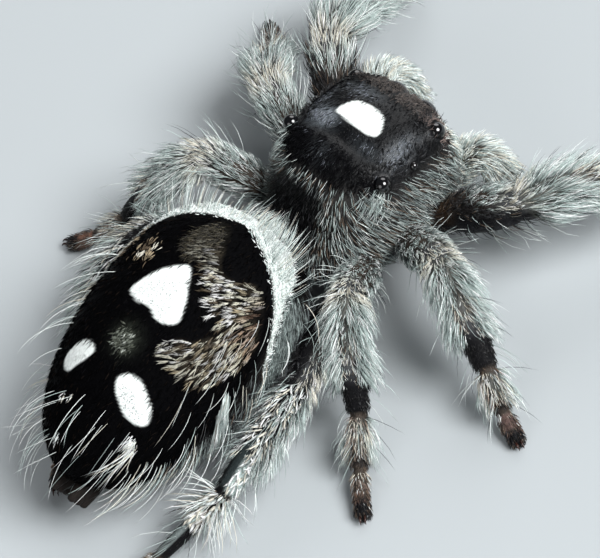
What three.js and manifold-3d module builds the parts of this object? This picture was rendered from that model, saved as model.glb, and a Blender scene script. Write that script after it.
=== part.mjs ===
// A regal jumping spider, life size: an adult female of the grey form, standing on its eight feet.
// Millimetres, +Z up, +Y the way the head faces, +X the spider's own right-hand side.
// The body is laid out from a point on the floor below the head's rear eyes, and the whole group
// is then moved so that the origin is the middle of its footprint.
import * as THREE from "three";
import { mergeVertices } from "three/addons/utils/BufferGeometryUtils.js";
import Module from "manifold-3d";

const wasm = await Module();
wasm.setup();

const { sin, cos, abs, sign, sqrt, PI } = Math;
const vec = (x, y, z) => new THREE.Vector3(x, y, z);
const { lerp, clamp, degToRad } = THREE.MathUtils;

// ---- driving sizes ----
const jointGap = 0.3; // clear space between two nodes that meet
const eyeGap = 0.12;
const sides = [
  { word: "right", x: 1 },
  { word: "left", x: -1 },
];

// From the face to the rear edge. outline: y, half width, top. underside: bottom, height of the
// widest line, squareness of the section's upper half.
const carapace = {
  around: 22,
  along: 14,
  outline: [
    [3.2, 0.3, 3.3],
    [3.12, 1.7, 4.1],
    [2.65, 2.25, 4.62],
    [1.7, 2.45, 4.98],
    [0.6, 2.58, 5.1],
    [-0.4, 2.6, 5.02],
    [-1.3, 2.35, 4.35],
    [-2.1, 1.85, 3.35],
    [-2.8, 1.15, 2.55],
    [-3.1, 0.2, 2.2],
  ],
  underside: [
    [2.6, 3.0, 0.8],
    [2.0, 2.7, 0.7],
    [1.4, 2.3, 0.62],
    [1.2, 2.0, 0.62],
    [1.1, 1.95, 0.7],
    [1.1, 1.95, 0.82],
    [1.1, 1.95, 0.9],
    [1.2, 1.9, 1.0],
    [1.5, 1.9, 1.0],
    [1.75, 1.9, 1.0],
  ],
};
const abdomen = {
  around: 22,
  along: 14,
  centre: vec(0.1, -8.1, 3.35),
  length: 9.9,
  halfWidth: 3.25,
  rise: 2.75, // middle to top
  drop: 2.6, // middle to belly
  pitch: 0.17, // front end up
};
const pedicel = { radius: 0.42, from: vec(0, -2.6, 2.0), to: vec(0.05, -5.2, 2.5) };

const eyes = [
  { name: "anterior_median", at: vec(0.64, 3.05, 3.55), radius: 0.5, facets: 10 },
  { name: "anterior_lateral", at: vec(1.79, 2.7, 4.02), radius: 0.3, facets: 9 },
  { name: "posterior_median", at: vec(2.2, 1.3, 4.12), radius: 0.15, facets: 7 },
  { name: "posterior_lateral", at: vec(2.07, 0.1, 4.41), radius: 0.27, facets: 9 },
];
const chelicera = {
  top: vec(0.8, 2.95, 2.2),
  foot: vec(0.74, 3.25, 0.95),
  radius: 0.66,
};
const fang = { root: vec(0.62, 3.2, 0.62), tip: vec(0.22, 2.75, 0.42), radius: 0.26 };
const palp = {
  right: [vec(1.55, 2.6, 1.3), vec(2.35, 3.45, 2.25), vec(2.95, 3.65, 1.6), vec(2.85, 3.55, 0.75)],
  left: [vec(-1.55, 2.6, 1.3), vec(-2.4, 3.7, 2.2), vec(-2.4, 4.3, 1.6), vec(-2.1, 4.5, 0.75)],
  radii: [[0, 0.34], [0.4, 0.42], [0.8, 0.42], [1, 0.34]],
};
const spinnerets = { rows: 3, radius: 0.27, length: 1.0, spread: 0.3 };

// Each leg: where it leaves the body, the femur's end, the patella's, the tibia's, the metatarsus's
// and the foot's.
const legs = [
  {
    number: 1,
    stout: 1.15,
    right: [
      vec(2.0, 1.2, 1.25), vec(5.25, 2.5, 2.95), vec(6.4, 4.2, 3.1),
      vec(7.4, 6.0, 1.7), vec(7.6, 7.6, 0.7), vec(7.7, 8.4, 0),
    ],
    left: [
      vec(-2.0, 1.4, 1.8), vec(-4.0, 3.4, 3.4), vec(-4.5, 4.8, 3.2),
      vec(-5.0, 6.8, 1.8), vec(-5.7, 8.2, 0.7), vec(-6.1, 9.0, 0),
    ],
  },
  {
    number: 2,
    stout: 1.0,
    right: [
      vec(2.0, 0.0, 1.7), vec(4.8, -0.5, 3.3), vec(6.1, -1.1, 3.0),
      vec(7.75, -1.95, 1.6), vec(8.7, -2.5, 0.6), vec(9.4, -2.8, 0),
    ],
    left: [
      vec(-2.1, 0.2, 1.7), vec(-4.5, 1.1, 3.4), vec(-5.4, 1.8, 3.0),
      vec(-6.5, 2.6, 1.6), vec(-7.5, 3.3, 0.7), vec(-8.3, 3.8, 0),
    ],
  },
  {
    number: 3,
    stout: 0.95,
    right: [
      vec(1.9, -1.2, 1.7), vec(3.4, -3.2, 3.5), vec(4.4, -4.3, 3.1),
      vec(5.5, -5.5, 1.5), vec(6.4, -6.7, 0.6), vec(7.3, -7.6, 0),
    ],
    left: [
      vec(-1.9, -1.2, 1.7), vec(-4.3, -2.1, 3.4), vec(-5.2, -3.4, 2.8),
      vec(-6.0, -4.7, 1.4), vec(-7.0, -5.5, 0.6), vec(-7.7, -6.0, 0),
    ],
  },
  {
    number: 4,
    stout: 1.0,
    right: [
      vec(1.7, -2.0, 1.55), vec(4.05, -6.1, 2.9), vec(4.2, -7.8, 2.5),
      vec(4.1, -10.1, 1.6), vec(3.4, -12.7, 0.6), vec(3.0, -14.0, 0),
    ],
    left: [
      vec(-1.7, -2.0, 1.55), vec(-4.3, -5.3, 2.7), vec(-4.4, -7.2, 2.1),
      vec(-3.5, -9.6, 1.0), vec(-2.3, -11.5, 0.5), vec(-1.5, -12.7, 0),
    ],
  },
];
// Radii along each length of a leg: pairs of share of the length and radius.
const legRadii = {
  femur: [[0, 0.54], [0.22, 0.45], [0.45, 0.62], [0.7, 0.64], [1, 0.48]],
  tibia: [[0, 0.48], [0.2, 0.54], [0.4, 0.45], [0.7, 0.5], [1, 0.38]],
  foot: [[0, 0.38], [0.35, 0.31], [0.65, 0.28], [1, 0.3]],
};
const limbSides = 8;
const footLift = 0.22; // height of the middle of a foot's tip, less than its radius

// The coat's long hair, as flat tapered locks. Rows run along the surface and the locks of a row
// go round it. Each lock leaves its root at the first angle from the skin and ends at the second.
const lockGap = 0.33; // clear space between a lock and any other node
const floorGap = 0.25;
const lockShape = { sides: 4, sink: 0.16, thick: 0.52 };
const legCoats = {
  femur: { rows: [0.56, 0.84], around: 4, from: 0, length: 1.25, width: 0.9, angles: [48, 18] },
  tibia: { rows: [0.16, 0.45, 0.76], around: 4, from: 45, length: 1.4, width: 0.9, angles: [50, 18] },
  foot: { rows: [0.14, 0.42], around: 3, from: 0, length: 1.05, width: 0.7, angles: [44, 14] },
};
const palpCoat = {
  rows: [0.3, 0.62], around: 4, from: 45, length: 0.95, width: 0.75, angles: [48, 15],
};
// turns run from +X round over the top; lie is mirrored in x on the left side.
const headCoat = [
  { rows: [0.26, 0.38, 0.5, 0.62, 0.74], scatter: 0.03, count: 3, turns: [12, 60],
    lie: [0.6, -0.4, -1], length: 1.05, width: 0.9, steps: 2, angles: [46, 20] },
  { rows: [0.26, 0.38, 0.5, 0.62, 0.74], scatter: 0.03, count: 3, turns: [120, 168],
    lie: [0.6, -0.4, -1], length: 1.05, width: 0.9, steps: 2, angles: [46, 20] },
  { rows: [0.74, 0.84], scatter: 0.02, count: 4, turns: [45, 135],
    lie: [0.3, -1, -0.4], length: 0.9, width: 0.85, steps: 2, angles: [40, 20] },
  { rows: [0.09], scatter: 0.02, count: 6, turns: [35, 145],
    lie: [0.35, 1, 0.1], length: 0.75, width: 0.7, steps: 2, angles: [35, 10] },
];
const abdomenCoat = [
  { rows: [0.12], scatter: 0.03, count: 9, turns: [15, 165],
    lie: [0.4, 1, 0.5], length: 1.0, width: 0.75, steps: 2, angles: [50, 35] },
  { rows: [0.36, 0.5, 0.62], scatter: 0.05, count: 2, turns: [-25, 15],
    lie: [0.7, -1, -0.6], length: 1.3, width: 0.85, steps: 2, angles: [40, 18] },
  { rows: [0.36, 0.5, 0.62], scatter: 0.05, count: 2, turns: [165, 205],
    lie: [0.7, -1, -0.6], length: 1.3, width: 0.85, steps: 2, angles: [40, 18] },
  { rows: [0.66, 0.76, 0.86], scatter: 0.04, count: 7, turns: [-20, 200],
    lie: [0.5, -1, 0.2], length: 1.75, width: 0.6, steps: 3, angles: [64, 22] },
];

const colours = {
  shell: 0x1a1a1c,
  abdomen: 0x161416,
  leg: 0x8d9392,
  palp: 0xb7bdb9,
  eye: 0x050507,
  chelicera: 0x2b4a48,
  fang: 0x2a1410,
};

// ---- making closed shapes ----
function solidOf(geometry) {
  geometry.deleteAttribute("normal");
  geometry.deleteAttribute("uv");
  const merged = mergeVertices(geometry, 1e-4);
  return new wasm.Manifold(
    new wasm.Mesh({
      numProp: 3,
      vertProperties: merged.attributes.position.array,
      triVerts: new Uint32Array(merged.index.array),
    }),
  );
}

function geometryOf(solid) {
  const mesh = solid.getMesh();
  const count = mesh.vertProperties.length / mesh.numProp;
  const places = new Float32Array(count * 3);
  for (let i = 0; i < count; i++)
    places.set(mesh.vertProperties.subarray(i * mesh.numProp, i * mesh.numProp + 3), i * 3);
  const geometry = new THREE.BufferGeometry();
  geometry.setAttribute("position", new THREE.BufferAttribute(places, 3));
  geometry.setIndex(new THREE.BufferAttribute(mesh.triVerts, 1));
  geometry.computeVertexNormals();
  return geometry;
}

const joined = (solids) => solids.reduce((all, one) => all.add(one));

function largestPiece(solid) {
  return solid.decompose().reduce((best, one) => (one.volume() > best.volume() ? one : best));
}

// A ball whose rings run from a front pole to a rear pole. place(share, angle) gives each point,
// with the angle counted from +X towards +Z.
function shapedBall(around, along, place) {
  const ball = new THREE.SphereGeometry(1, around, along);
  const points = ball.attributes.position;
  for (let i = 0; i < points.count; i++) {
    const share = Math.acos(clamp(points.getY(i), -1, 1)) / PI;
    const angle = Math.atan2(-points.getZ(i), -points.getX(i));
    const to = place(share, angle);
    points.setXYZ(i, to.x, to.y, to.z);
  }
  return solidOf(ball);
}

// A smooth path through points, with the directions across it and above it at each share.
function pathThrough(points) {
  const curve = points.length > 2
    ? new THREE.CatmullRomCurve3(points, false, "centripetal")
    : new THREE.LineCurve3(...points);
  const length = curve.getLength();
  const at = (share) => {
    const along = curve.getTangentAt(share);
    const across = along.clone().cross(vec(0, 0, 1)).normalize();
    return { centre: curve.getPointAt(share), along, across, above: across.clone().cross(along) };
  };
  return { length, at };
}

// A round bar along a path, with dome ends, its radius read from share and radius pairs.
function limb(points, radii, scale = 1, grow = 0) {
  const path = pathThrough(points);
  const first = radii[0][1] * scale + grow;
  const last = radii.at(-1)[1] * scale + grow;
  const profile = [
    [0, -first],
    [first * 0.75, -first * 0.65],
    ...radii.map(([share, radius]) => [radius * scale + grow, share * path.length]),
    [last * 0.75, path.length + last * 0.65],
    [0, path.length + last],
  ];
  const bar = new THREE.LatheGeometry(
    profile.map((p) => new THREE.Vector2(...p)),
    limbSides,
  );
  const places = bar.attributes.position;
  for (let i = 0; i < places.count; i++) {
    const reach = clamp(places.getY(i), 0, path.length);
    const { centre, along, across, above } = path.at(reach / path.length);
    centre.addScaledVector(along, places.getY(i) - reach);
    centre.addScaledVector(across, places.getX(i)).addScaledVector(above, places.getZ(i));
    places.setXYZ(i, centre.x, centre.y, centre.z);
  }
  return solidOf(bar);
}

function radiusAt(radii, share) {
  const next = Math.max(1, radii.findIndex((pair) => pair[0] >= share));
  const [[s0, r0], [s1, r1]] = [radii[next - 1], radii[next]];
  return lerp(r0, r1, (share - s0) / (s1 - s0));
}

// Keeps what lies beyond a plane through a point, on the side that the normal points to.
const beyond = (solid, point, normal, gap) =>
  solid.trimByPlane(normal.toArray(), normal.dot(point) + gap);

// ---- locks of hair ----
function seededRandom(seed) {
  let state = seed;
  return () => {
    state = (state * 1664525 + 1013904223) % 4294967296;
    return state / 4294967296;
  };
}
const random = seededRandom(7);
const vary = (value, share) => value * (1 + share * (2 * random() - 1));

// One flat lock: widest a third of the way out, bending over from the skin, and sharp at its tip.
function lock({ root, out, lie, length, width, angles, steps = 2 }, grow = 0) {
  const blade = new THREE.ConeGeometry(1, 1, lockShape.sides, steps);
  const across = lie.clone().cross(out).normalize();
  const stations = [];
  const place = root.clone().addScaledVector(out, -lockShape.sink);
  const reach = length + lockShape.sink + grow;
  for (let step = 0; step <= steps; step++) {
    const share = step / steps;
    const angle = degToRad(lerp(angles[0], angles[1], share));
    const along = lie.clone().multiplyScalar(cos(angle)).addScaledVector(out, sin(angle));
    stations.push({ at: place.clone(), rise: across.clone().cross(along) });
    place.addScaledVector(along, reach / steps);
  }
  const places = blade.attributes.position;
  for (let i = 0; i < places.count; i++) {
    const share = places.getY(i) + 0.5;
    const { at, rise } = stations[Math.round(share * steps)];
    const spread = share > 0.99 ? 0 : 1 / (1 - share);
    const halfWidth = (width / 2) * (0.75 + share - 1.45 * share * share) + grow;
    const halfThick = (lockShape.thick / 2) * (1 - 0.72 * share * share) + grow;
    const to = at.clone().addScaledVector(across, places.getX(i) * spread * halfWidth);
    to.addScaledVector(rise, places.getZ(i) * spread * halfThick);
    places.setXYZ(i, to.x, to.y, to.z);
  }
  return solidOf(blade);
}

// Places for locks round a limb, row by row, each row turned half a step from the last.
function limbLocks(points, radii, scale, coat) {
  const path = pathThrough(points);
  return coat.rows.flatMap((row, rowNumber) =>
    Array.from({ length: coat.around }, (_, i) => {
      const turn = degToRad(coat.from + ((i + (rowNumber % 2) / 2) * 360) / coat.around);
      const { centre, along, across, above } = path.at(clamp(vary(row, 0.06), 0, 1));
      const out = above.clone().multiplyScalar(cos(turn)).addScaledVector(across, sin(turn));
      const root = centre.addScaledVector(out, radiusAt(radii, row) * scale);
      const [length, width] = [vary(coat.length, 0.15) * scale, vary(coat.width, 0.12) * scale];
      return { root, out, lie: along, length, width, angles: coat.angles };
    }),
  );
}

// The point of a shaped surface at a share of its length and an angle, with its outward normal.
function onSurface(place, share, angle) {
  const step = 0.01;
  const root = place(share, angle);
  const along = place(share + step, angle).sub(place(share - step, angle));
  const round = place(share, angle + step).sub(place(share, angle - step));
  return { root, out: along.cross(round).normalize().negate() };
}

// Places for locks over a shaped surface: count of them spread from one angle to the other in each
// row, lying along a direction that may change with the side of the body.
function surfaceLocks(place, group) {
  return group.rows.flatMap((row) =>
    Array.from({ length: group.count }, (_, i) => {
      const share = clamp(vary(row, group.scatter), 0.02, 0.98);
      const turn = lerp(...group.turns, (i + 0.5 + 0.5 * (random() - 0.5)) / group.count);
      const { root, out } = onSurface(place, share, degToRad(turn));
      const [x, y, z] = group.lie;
      const lie = vec(x * sign(root.x), y, z);
      lie.addScaledVector(out, -lie.dot(out)).normalize();
      const [length, width] = [vary(group.length, 0.2), vary(group.width, 0.12)];
      return { root, out, lie, length, width, angles: group.angles, steps: group.steps };
    }),
  );
}

// ---- body ----
function carapacePlace(grow = 0) {
  const outline = new THREE.CatmullRomCurve3(carapace.outline.map((p) => vec(...p)));
  const underside = new THREE.CatmullRomCurve3(carapace.underside.map((p) => vec(...p)));
  const power = (value, to) => sign(value) * abs(value) ** to;
  return (share, angle) => {
    const { x: y, y: halfWidth, z: top } = outline.getPoint(share);
    const { x: bottom, y: margin, z: squareness } = underside.getPoint(share);
    const up = sin(angle) >= 0;
    const atPole = share < 1e-6 || share > 1 - 1e-6;
    const width = atPole ? 0 : (halfWidth + grow) * power(cos(angle), up ? squareness : 1.4);
    const reach = up ? top + grow - margin : margin - bottom + grow;
    const height = margin + reach * power(sin(angle), up ? squareness : 0.8);
    const out = share < 0.06 ? grow : share > 0.94 ? -grow : 0;
    return vec(width, y + out, atPole ? (top + margin) / 2 : height);
  };
}

// The abdomen's half width at a share of its length: an egg, blunt in front.
const eggWidth = (share) => abdomen.halfWidth * sqrt(1 - abs(2 * share ** 0.75 - 1) ** 2.3);

const abdomenFrame = new THREE.Matrix4()
  .makeRotationX(abdomen.pitch)
  .setPosition(...abdomen.centre.toArray());

function abdomenPlace(grow = 0) {
  return (share, angle) => {
    const eased = (1 - cos(share * PI)) / 2; // rings crowd towards the poles
    const atPole = share < 1e-6 || share > 1 - 1e-6;
    const width = atPole ? 0 : eggWidth(eased);
    const ratio = (sin(angle) > 0 ? abdomen.rise : abdomen.drop) / abdomen.halfWidth;
    return vec(
      atPole ? 0 : (width + grow) * cos(angle),
      (0.5 - eased) * (abdomen.length + 2 * grow),
      atPole ? 0 : (width * ratio + grow) * sin(angle),
    ).applyMatrix4(abdomenFrame);
  };
}

const carapaceSolid = (grow) =>
  shapedBall(carapace.around, carapace.along, carapacePlace(grow));
const abdomenSolid = (grow) => shapedBall(abdomen.around, abdomen.along, abdomenPlace(grow));

function spinneretSolid() {
  const end = vec(0, -abdomen.length / 2, -0.75).applyMatrix4(abdomenFrame);
  const cones = [];
  for (const side of [-1, 1])
    for (let row = 0; row < spinnerets.rows; row++) {
      const root = end.clone().add(vec(side * spinnerets.spread, 0.7, (row - 1) * -0.34));
      const tip = root.clone().add(vec(side * 0.1, -spinnerets.length - 0.12 * (1 - row), -0.1));
      cones.push(limb([root, tip], [[0, spinnerets.radius], [1, spinnerets.radius * 0.62]]));
    }
  return joined(cones);
}

// ---- legs ----
// The plane's normal where two lengths of a leg meet: half way between their directions.
function bisector(before, at, after) {
  const into = at.clone().sub(before).normalize();
  const out = after.clone().sub(at).normalize();
  return into.add(out).normalize();
}

// Each leg is three solids: the thigh, the knee with the shin, and the foot with its flat.
function legParts(leg, side) {
  const [hip, knee, bend, heel, ankle, foot] = leg[side.word].map((p) => p.clone());
  foot.z = footLift;
  const atKnee = bisector(hip, knee, bend);
  const atHeel = bisector(bend, heel, ankle);
  const half = jointGap / 2;
  const bones = { femur: [hip, knee], tibia: [knee, bend, heel], foot: [heel, ankle, foot] };
  const bars = Object.fromEntries(
    Object.entries(bones).map(([part, points]) => [part, limb(points, legRadii[part], leg.stout)]),
  );
  const back = (n) => n.clone().negate();
  bars.femur = beyond(bars.femur, knee, back(atKnee), half);
  bars.tibia = beyond(beyond(bars.tibia, knee, atKnee, half), heel, back(atHeel), half);
  bars.foot = beyond(beyond(bars.foot, heel, atHeel, half), vec(0, 0, 0), vec(0, 0, 1), 0);
  return Object.entries(bones).map(([part, points]) => ({
    part,
    solid: bars[part].subtract(bodyRoom).subtract(bellyRoom),
    locks: limbLocks(points, legRadii[part], leg.stout, legCoats[part]),
  }));
}

// ---- the nodes: plain solids first, each clear of its neighbours ----
const finish = (colour, roughness) =>
  new THREE.MeshStandardMaterial({ color: colour, roughness, metalness: 0 });
const finishes = {
  shell: finish(colours.shell, 0.25),
  abdomen: finish(colours.abdomen, 0.7),
  leg: finish(colours.leg, 0.6),
  palp: finish(colours.palp, 0.7),
  eye: finish(colours.eye, 0.05),
  chelicera: finish(colours.chelicera, 0.3),
  fang: finish(colours.fang, 0.2),
};
const nodes = [];
const addNode = (name, material, solid, locks = []) =>
  nodes.push({ name, material, solid: largestPiece(solid), locks });

const bodyRoom = carapaceSolid(jointGap);
const bellyRoom = abdomenSolid(jointGap);

let head = carapaceSolid();
for (const eye of eyes)
  for (const side of sides) {
    const ball = (radius, facets) => {
      const sphere = new THREE.SphereGeometry(radius, facets, facets * 0.7);
      return solidOf(sphere.translate(eye.at.x * side.x, eye.at.y, eye.at.z));
    };
    head = head.subtract(ball(eye.radius + eyeGap, 8));
    addNode(`eye_${eye.name}_${side.word}`, finishes.eye, ball(eye.radius, eye.facets));
  }
const headLocks = headCoat.flatMap((group) => surfaceLocks(carapacePlace(), group));
addNode("cephalothorax", finishes.shell, head, headLocks);

for (const side of sides) {
  const mirrored = (p) => vec(p.x * side.x, p.y, p.z);
  const { top, foot, radius } = chelicera;
  const jawRadii = [[0, radius], [0.6, radius], [1, radius * 0.72]];
  const jaw = (grow) => limb([mirrored(top), mirrored(foot)], jawRadii, 1, grow);
  const claw = limb([mirrored(fang.root), mirrored(fang.tip)], [[0, fang.radius], [1, 0.1]]);
  addNode(`chelicera_${side.word}`, finishes.chelicera, jaw(0).subtract(bodyRoom));
  addNode(`fang_${side.word}`, finishes.fang, claw.subtract(jaw(eyeGap)));
  const points = palp[side.word];
  const feeler = limb(points, palp.radii).subtract(bodyRoom).subtract(jaw(jointGap));
  const locks = limbLocks(points, palp.radii, 1, palpCoat);
  addNode(`palp_${side.word}`, finishes.palp, feeler, locks);
}

const stalk = limb([pedicel.from, pedicel.to], [[0, pedicel.radius], [1, pedicel.radius]]);
addNode("pedicel", finishes.shell, stalk.subtract(bodyRoom).subtract(bellyRoom));
const bellyLocks = abdomenCoat.flatMap((group) => surfaceLocks(abdomenPlace(), group));
addNode("abdomen", finishes.abdomen, abdomenSolid(), bellyLocks);
addNode("spinnerets", finishes.shell, spinneretSolid().subtract(bellyRoom));

for (const leg of legs)
  for (const side of sides)
    for (const { part, solid, locks } of legParts(leg, side))
      addNode(`leg_${leg.number}_${side.word}_${part}`, finishes.leg, solid, locks);

// ---- the coat: each lock joins its node where it stays clear of every other node ----
const boxesMeet = (a, b) => [0, 1, 2].every((i) => a.min[i] < b.max[i] && b.min[i] < a.max[i]);

function isClear(shape, own) {
  const reach = shape.boundingBox();
  if (reach.min[2] < floorGap - lockGap) return false;
  return nodes.every(
    (node) =>
      node === own ||
      !boxesMeet(reach, node.solid.boundingBox()) ||
      shape.intersect(node.solid).isEmpty(),
  );
}

// A lock that would touch something is laid flatter and shorter, and is left out if that fails.
const easings = [
  [1, 1],
  [0.65, 0.9],
  [0.4, 0.75],
];
for (const node of nodes)
  for (const place of node.locks) {
    const tries = easings.map(([flatter, shorter]) => ({
      ...place,
      angles: place.angles.map((angle) => angle * flatter),
      length: place.length * shorter,
    }));
    const fits = tries.find((one) => isClear(lock(one, lockGap), node));
    if (fits) node.solid = node.solid.add(lock(fits));
  }

// ---- the scene graph ----
const spider = new THREE.Group();
const layout = new THREE.Group();
spider.add(layout);
for (const node of nodes) {
  const mesh = new THREE.Mesh(geometryOf(largestPiece(node.solid)), node.material);
  mesh.name = node.name;
  layout.add(mesh);
}
const box = new THREE.Box3().setFromObject(spider);
layout.position.set(-(box.min.x + box.max.x) / 2, -(box.min.y + box.max.y) / 2, 0);
export default spider;
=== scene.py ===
import math

import bpy
import numpy as np
from mathutils import Matrix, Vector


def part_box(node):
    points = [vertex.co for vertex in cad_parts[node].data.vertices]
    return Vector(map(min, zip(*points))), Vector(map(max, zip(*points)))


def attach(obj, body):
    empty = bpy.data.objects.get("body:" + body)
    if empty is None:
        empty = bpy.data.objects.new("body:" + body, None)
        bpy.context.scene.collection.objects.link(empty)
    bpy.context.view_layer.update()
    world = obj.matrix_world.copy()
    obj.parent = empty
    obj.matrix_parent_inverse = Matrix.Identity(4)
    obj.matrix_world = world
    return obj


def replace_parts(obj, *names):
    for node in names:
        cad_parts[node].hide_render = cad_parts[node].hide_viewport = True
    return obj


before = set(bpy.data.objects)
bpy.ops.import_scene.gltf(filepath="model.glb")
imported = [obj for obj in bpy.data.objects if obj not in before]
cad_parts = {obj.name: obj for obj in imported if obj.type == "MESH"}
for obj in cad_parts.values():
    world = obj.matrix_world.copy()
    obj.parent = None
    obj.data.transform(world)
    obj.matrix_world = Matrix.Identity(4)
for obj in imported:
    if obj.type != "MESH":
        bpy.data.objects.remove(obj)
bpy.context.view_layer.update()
rng = np.random.default_rng(11)
millimetre = 0.001
medianEyeY = 3.05  # how far ahead of the layout's zero the front middle eyes lie
sideNames = {"right": 1, "left": -1}


def boxOf(node):  # the middle and the size of a node's box
    low, high = [np.array(corner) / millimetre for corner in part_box(node)]
    return (low + high) / 2, high - low


medianEyes = [boxOf(f"eye_anterior_median_{side}")[0] for side in sideNames]
offset = np.mean(medianEyes, axis=0) * [1, 1, 0] - [0, medianEyeY, 0]


def srgb(*colour):
    value = np.array(colour, float) / 255
    return np.where(value <= 0.04045, value / 12.92, ((value + 0.055) / 1.055) ** 2.4)


def smooth(low, high, value):
    t = np.clip((value - low) / (high - low), 0, 1)
    return t * t * (3 - 2 * t)


def within(value, start, full, last, end):  # rises from start to full, falls from last to end
    return smooth(start, full, value) * smooth(end, last, value)


def hump(value, middle, reach):
    return np.exp(-(((value - middle) / reach) ** 2))


def blend(a, b, share):
    return a + (b - a) * np.asarray(share)[..., None]


def pick(palette, count, jitter=0.18):  # colours drawn from (weight, colour) pairs
    weights = np.array([weight for weight, _ in palette], float)
    colours = np.array([colour for _, colour in palette])
    drawn = colours[rng.choice(len(palette), count, p=weights / weights.sum())]
    return drawn * np.exp(rng.normal(0, jitter, (count, 1)))


def layered(base, count, layers):  # colours laid over each other, each with its share
    tint = np.tile(base, (count, 1))
    for colour, share in layers:
        tint = blend(tint, colour, share)
    return tint


def capped(tone):  # no hair is brighter than clean white hair
    return np.minimum(tone, 0.93)


white = srgb(242, 250, 247)
patchWhite = srgb(232, 238, 236)
cream = srgb(226, 222, 208)
paleGrey = srgb(180, 195, 192)
midGrey = srgb(122, 132, 131)
darkGrey = srgb(66, 68, 70)
brown = srgb(112, 96, 82)
redBrown = srgb(112, 84, 72)
footGrey = srgb(160, 142, 132)
thighSkin = srgb(58, 52, 47)
legSkin = srgb(84, 85, 81)
slate = srgb(44, 51, 52)
soot = srgb(30, 30, 33)
black = srgb(13, 13, 15)


class Value:  # a number's socket that can be written in sums
    def __init__(self, maker, socket):
        self.maker, self.socket = maker, socket

    def join(self, operation, first, second):
        made = self.maker.node("ShaderNodeMath", {"operation": operation}, {0: first, 1: second})
        return Value(self.maker, made.outputs[0])

    def __add__(self, other):
        return self.join("ADD", self, other)

    def __sub__(self, other):
        return self.join("SUBTRACT", self, other)

    def __rsub__(self, other):
        return self.join("SUBTRACT", other, self)

    def __mul__(self, other):
        return self.join("MULTIPLY", self, other)

    __radd__ = __add__
    __rmul__ = __mul__


class Maker:  # makes one material's nodes
    def __init__(self, name):
        self.material = bpy.data.materials.new(name)
        self.material.use_nodes = True
        self.tree = self.material.node_tree
        self.shader = self.tree.nodes["Principled BSDF"]

    def node(self, kind, settings=None, values=None):
        made = self.tree.nodes.new(kind)
        for key, value in (settings or {}).items():
            setattr(made, key, value)
        for key, value in (values or {}).items():
            self.feed(made.inputs[key], value)
        return made

    def feed(self, socket, value):
        if isinstance(value, Value):
            value = value.socket
        if isinstance(value, bpy.types.NodeSocket):
            self.tree.links.new(value, socket)
        else:
            socket.default_value = value

    def dress(self, values):  # sets the shader's inputs, and gives the finished material
        for key, value in values.items():
            self.feed(self.shader.inputs[key], value)
        return self.material

    def places(self):
        return self.node("ShaderNodeTexCoord").outputs["Object"]

    def noise(self, scale, detail=3.0, stretch=None):  # scale is in waves a millimetre
        vector = self.places()
        if stretch:
            scaled = {"operation": "MULTIPLY"}
            vector = self.node("ShaderNodeVectorMath", scaled, {0: vector, 1: stretch}).outputs[0]
        values = {"Vector": vector, "Scale": scale / millimetre, "Detail": detail}
        return Value(self, self.node("ShaderNodeTexNoise", None, values).outputs["Fac"])

    def pits(self, scale):
        values = {"Vector": self.places(), "Scale": scale / millimetre}
        return Value(self, self.node("ShaderNodeTexVoronoi", None, values).outputs[0])

    def tint(self):  # the colour kept on the mesh's points
        return self.node("ShaderNodeAttribute", {"attribute_name": "tint"}).outputs["Color"]

    def ramp(self, factor, low, high, bottom=0.0, top=1.0):
        values = {"Value": factor, "From Min": low, "From Max": high, "To Min": bottom, "To Max": top}
        return Value(self, self.node("ShaderNodeMapRange", None, values).outputs[0])

    def mix(self, factor, first, second):
        ends = [(*colour.tolist(), 1.0) for colour in (first, second)]
        values = {0: factor, 6: ends[0], 7: ends[1]}
        return self.node("ShaderNodeMix", {"data_type": "RGBA"}, values).outputs[2]

    def shade(self, colour, factor):  # a colour times a number
        values = {0: colour, 3: factor}
        return self.node("ShaderNodeVectorMath", {"operation": "SCALE"}, values).outputs[0]

    def bump(self, height, depth):  # depth is in millimetres
        values = {"Height": height, "Distance": depth * millimetre}
        return self.node("ShaderNodeBump", None, values).outputs[0]


def coatMaterial(name="coat_hair", shine=0.4):
    make = Maker(name)
    return make.dress({
        "Base Color": make.shade(make.tint(), make.noise(9.0) * 0.5 + 0.78),
        "Roughness": make.ramp(make.noise(14.0), 0.3, 0.7, 0.34, 0.56),
        "Specular IOR Level": shine,
    })


def shellMaterial():  # glossy black shell, finely pitted and dulled in soft patches
    make = Maker("black_shell")
    grain = make.noise(16.0, 5.0)
    height = make.ramp(make.pits(11.0), 0.0, 0.35) * 0.6 + grain * 0.5 + make.noise(2.2) * 1.4
    return make.dress({
        "Base Color": make.shade(make.tint(), grain * 0.7 + 0.65),
        "Roughness": make.ramp(make.noise(2.6), 0.35, 0.7, 0.3, 0.5),
        "Normal": make.bump(height, 0.035),
        "Specular IOR Level": 0.2,
    })


def skinMaterial(name="skin", shine=0.08):  # leathery, below the coat, with the coat's markings
    make = Maker(name)
    grain = make.noise(14.0, 5.0)
    down = make.noise(20.0, 2.0, (1.0, 0.35, 1.0))  # short flat down
    return make.dress({
        "Base Color": make.shade(make.tint(), down * 0.8 + 0.6),
        "Roughness": make.ramp(grain, 0.3, 0.7, 0.42, 0.66),
        "Normal": make.bump(grain * 0.5 + down, 0.03),
        "Specular IOR Level": shine,
    })


def eyeMaterial():
    make = Maker("eye_glass")
    veil = make.ramp(make.noise(1.4, 2.0), 0.35, 0.7)
    return make.dress({
        "Base Color": make.mix(veil, srgb(5, 6, 9), srgb(16, 14, 13)),
        "Roughness": make.ramp(make.noise(30.0), 0.3, 0.8, 0.02, 0.07),
        "Specular IOR Level": 0.5,
        "Coat Weight": 0.4,
        "Coat Roughness": 0.03,
    })


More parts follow.
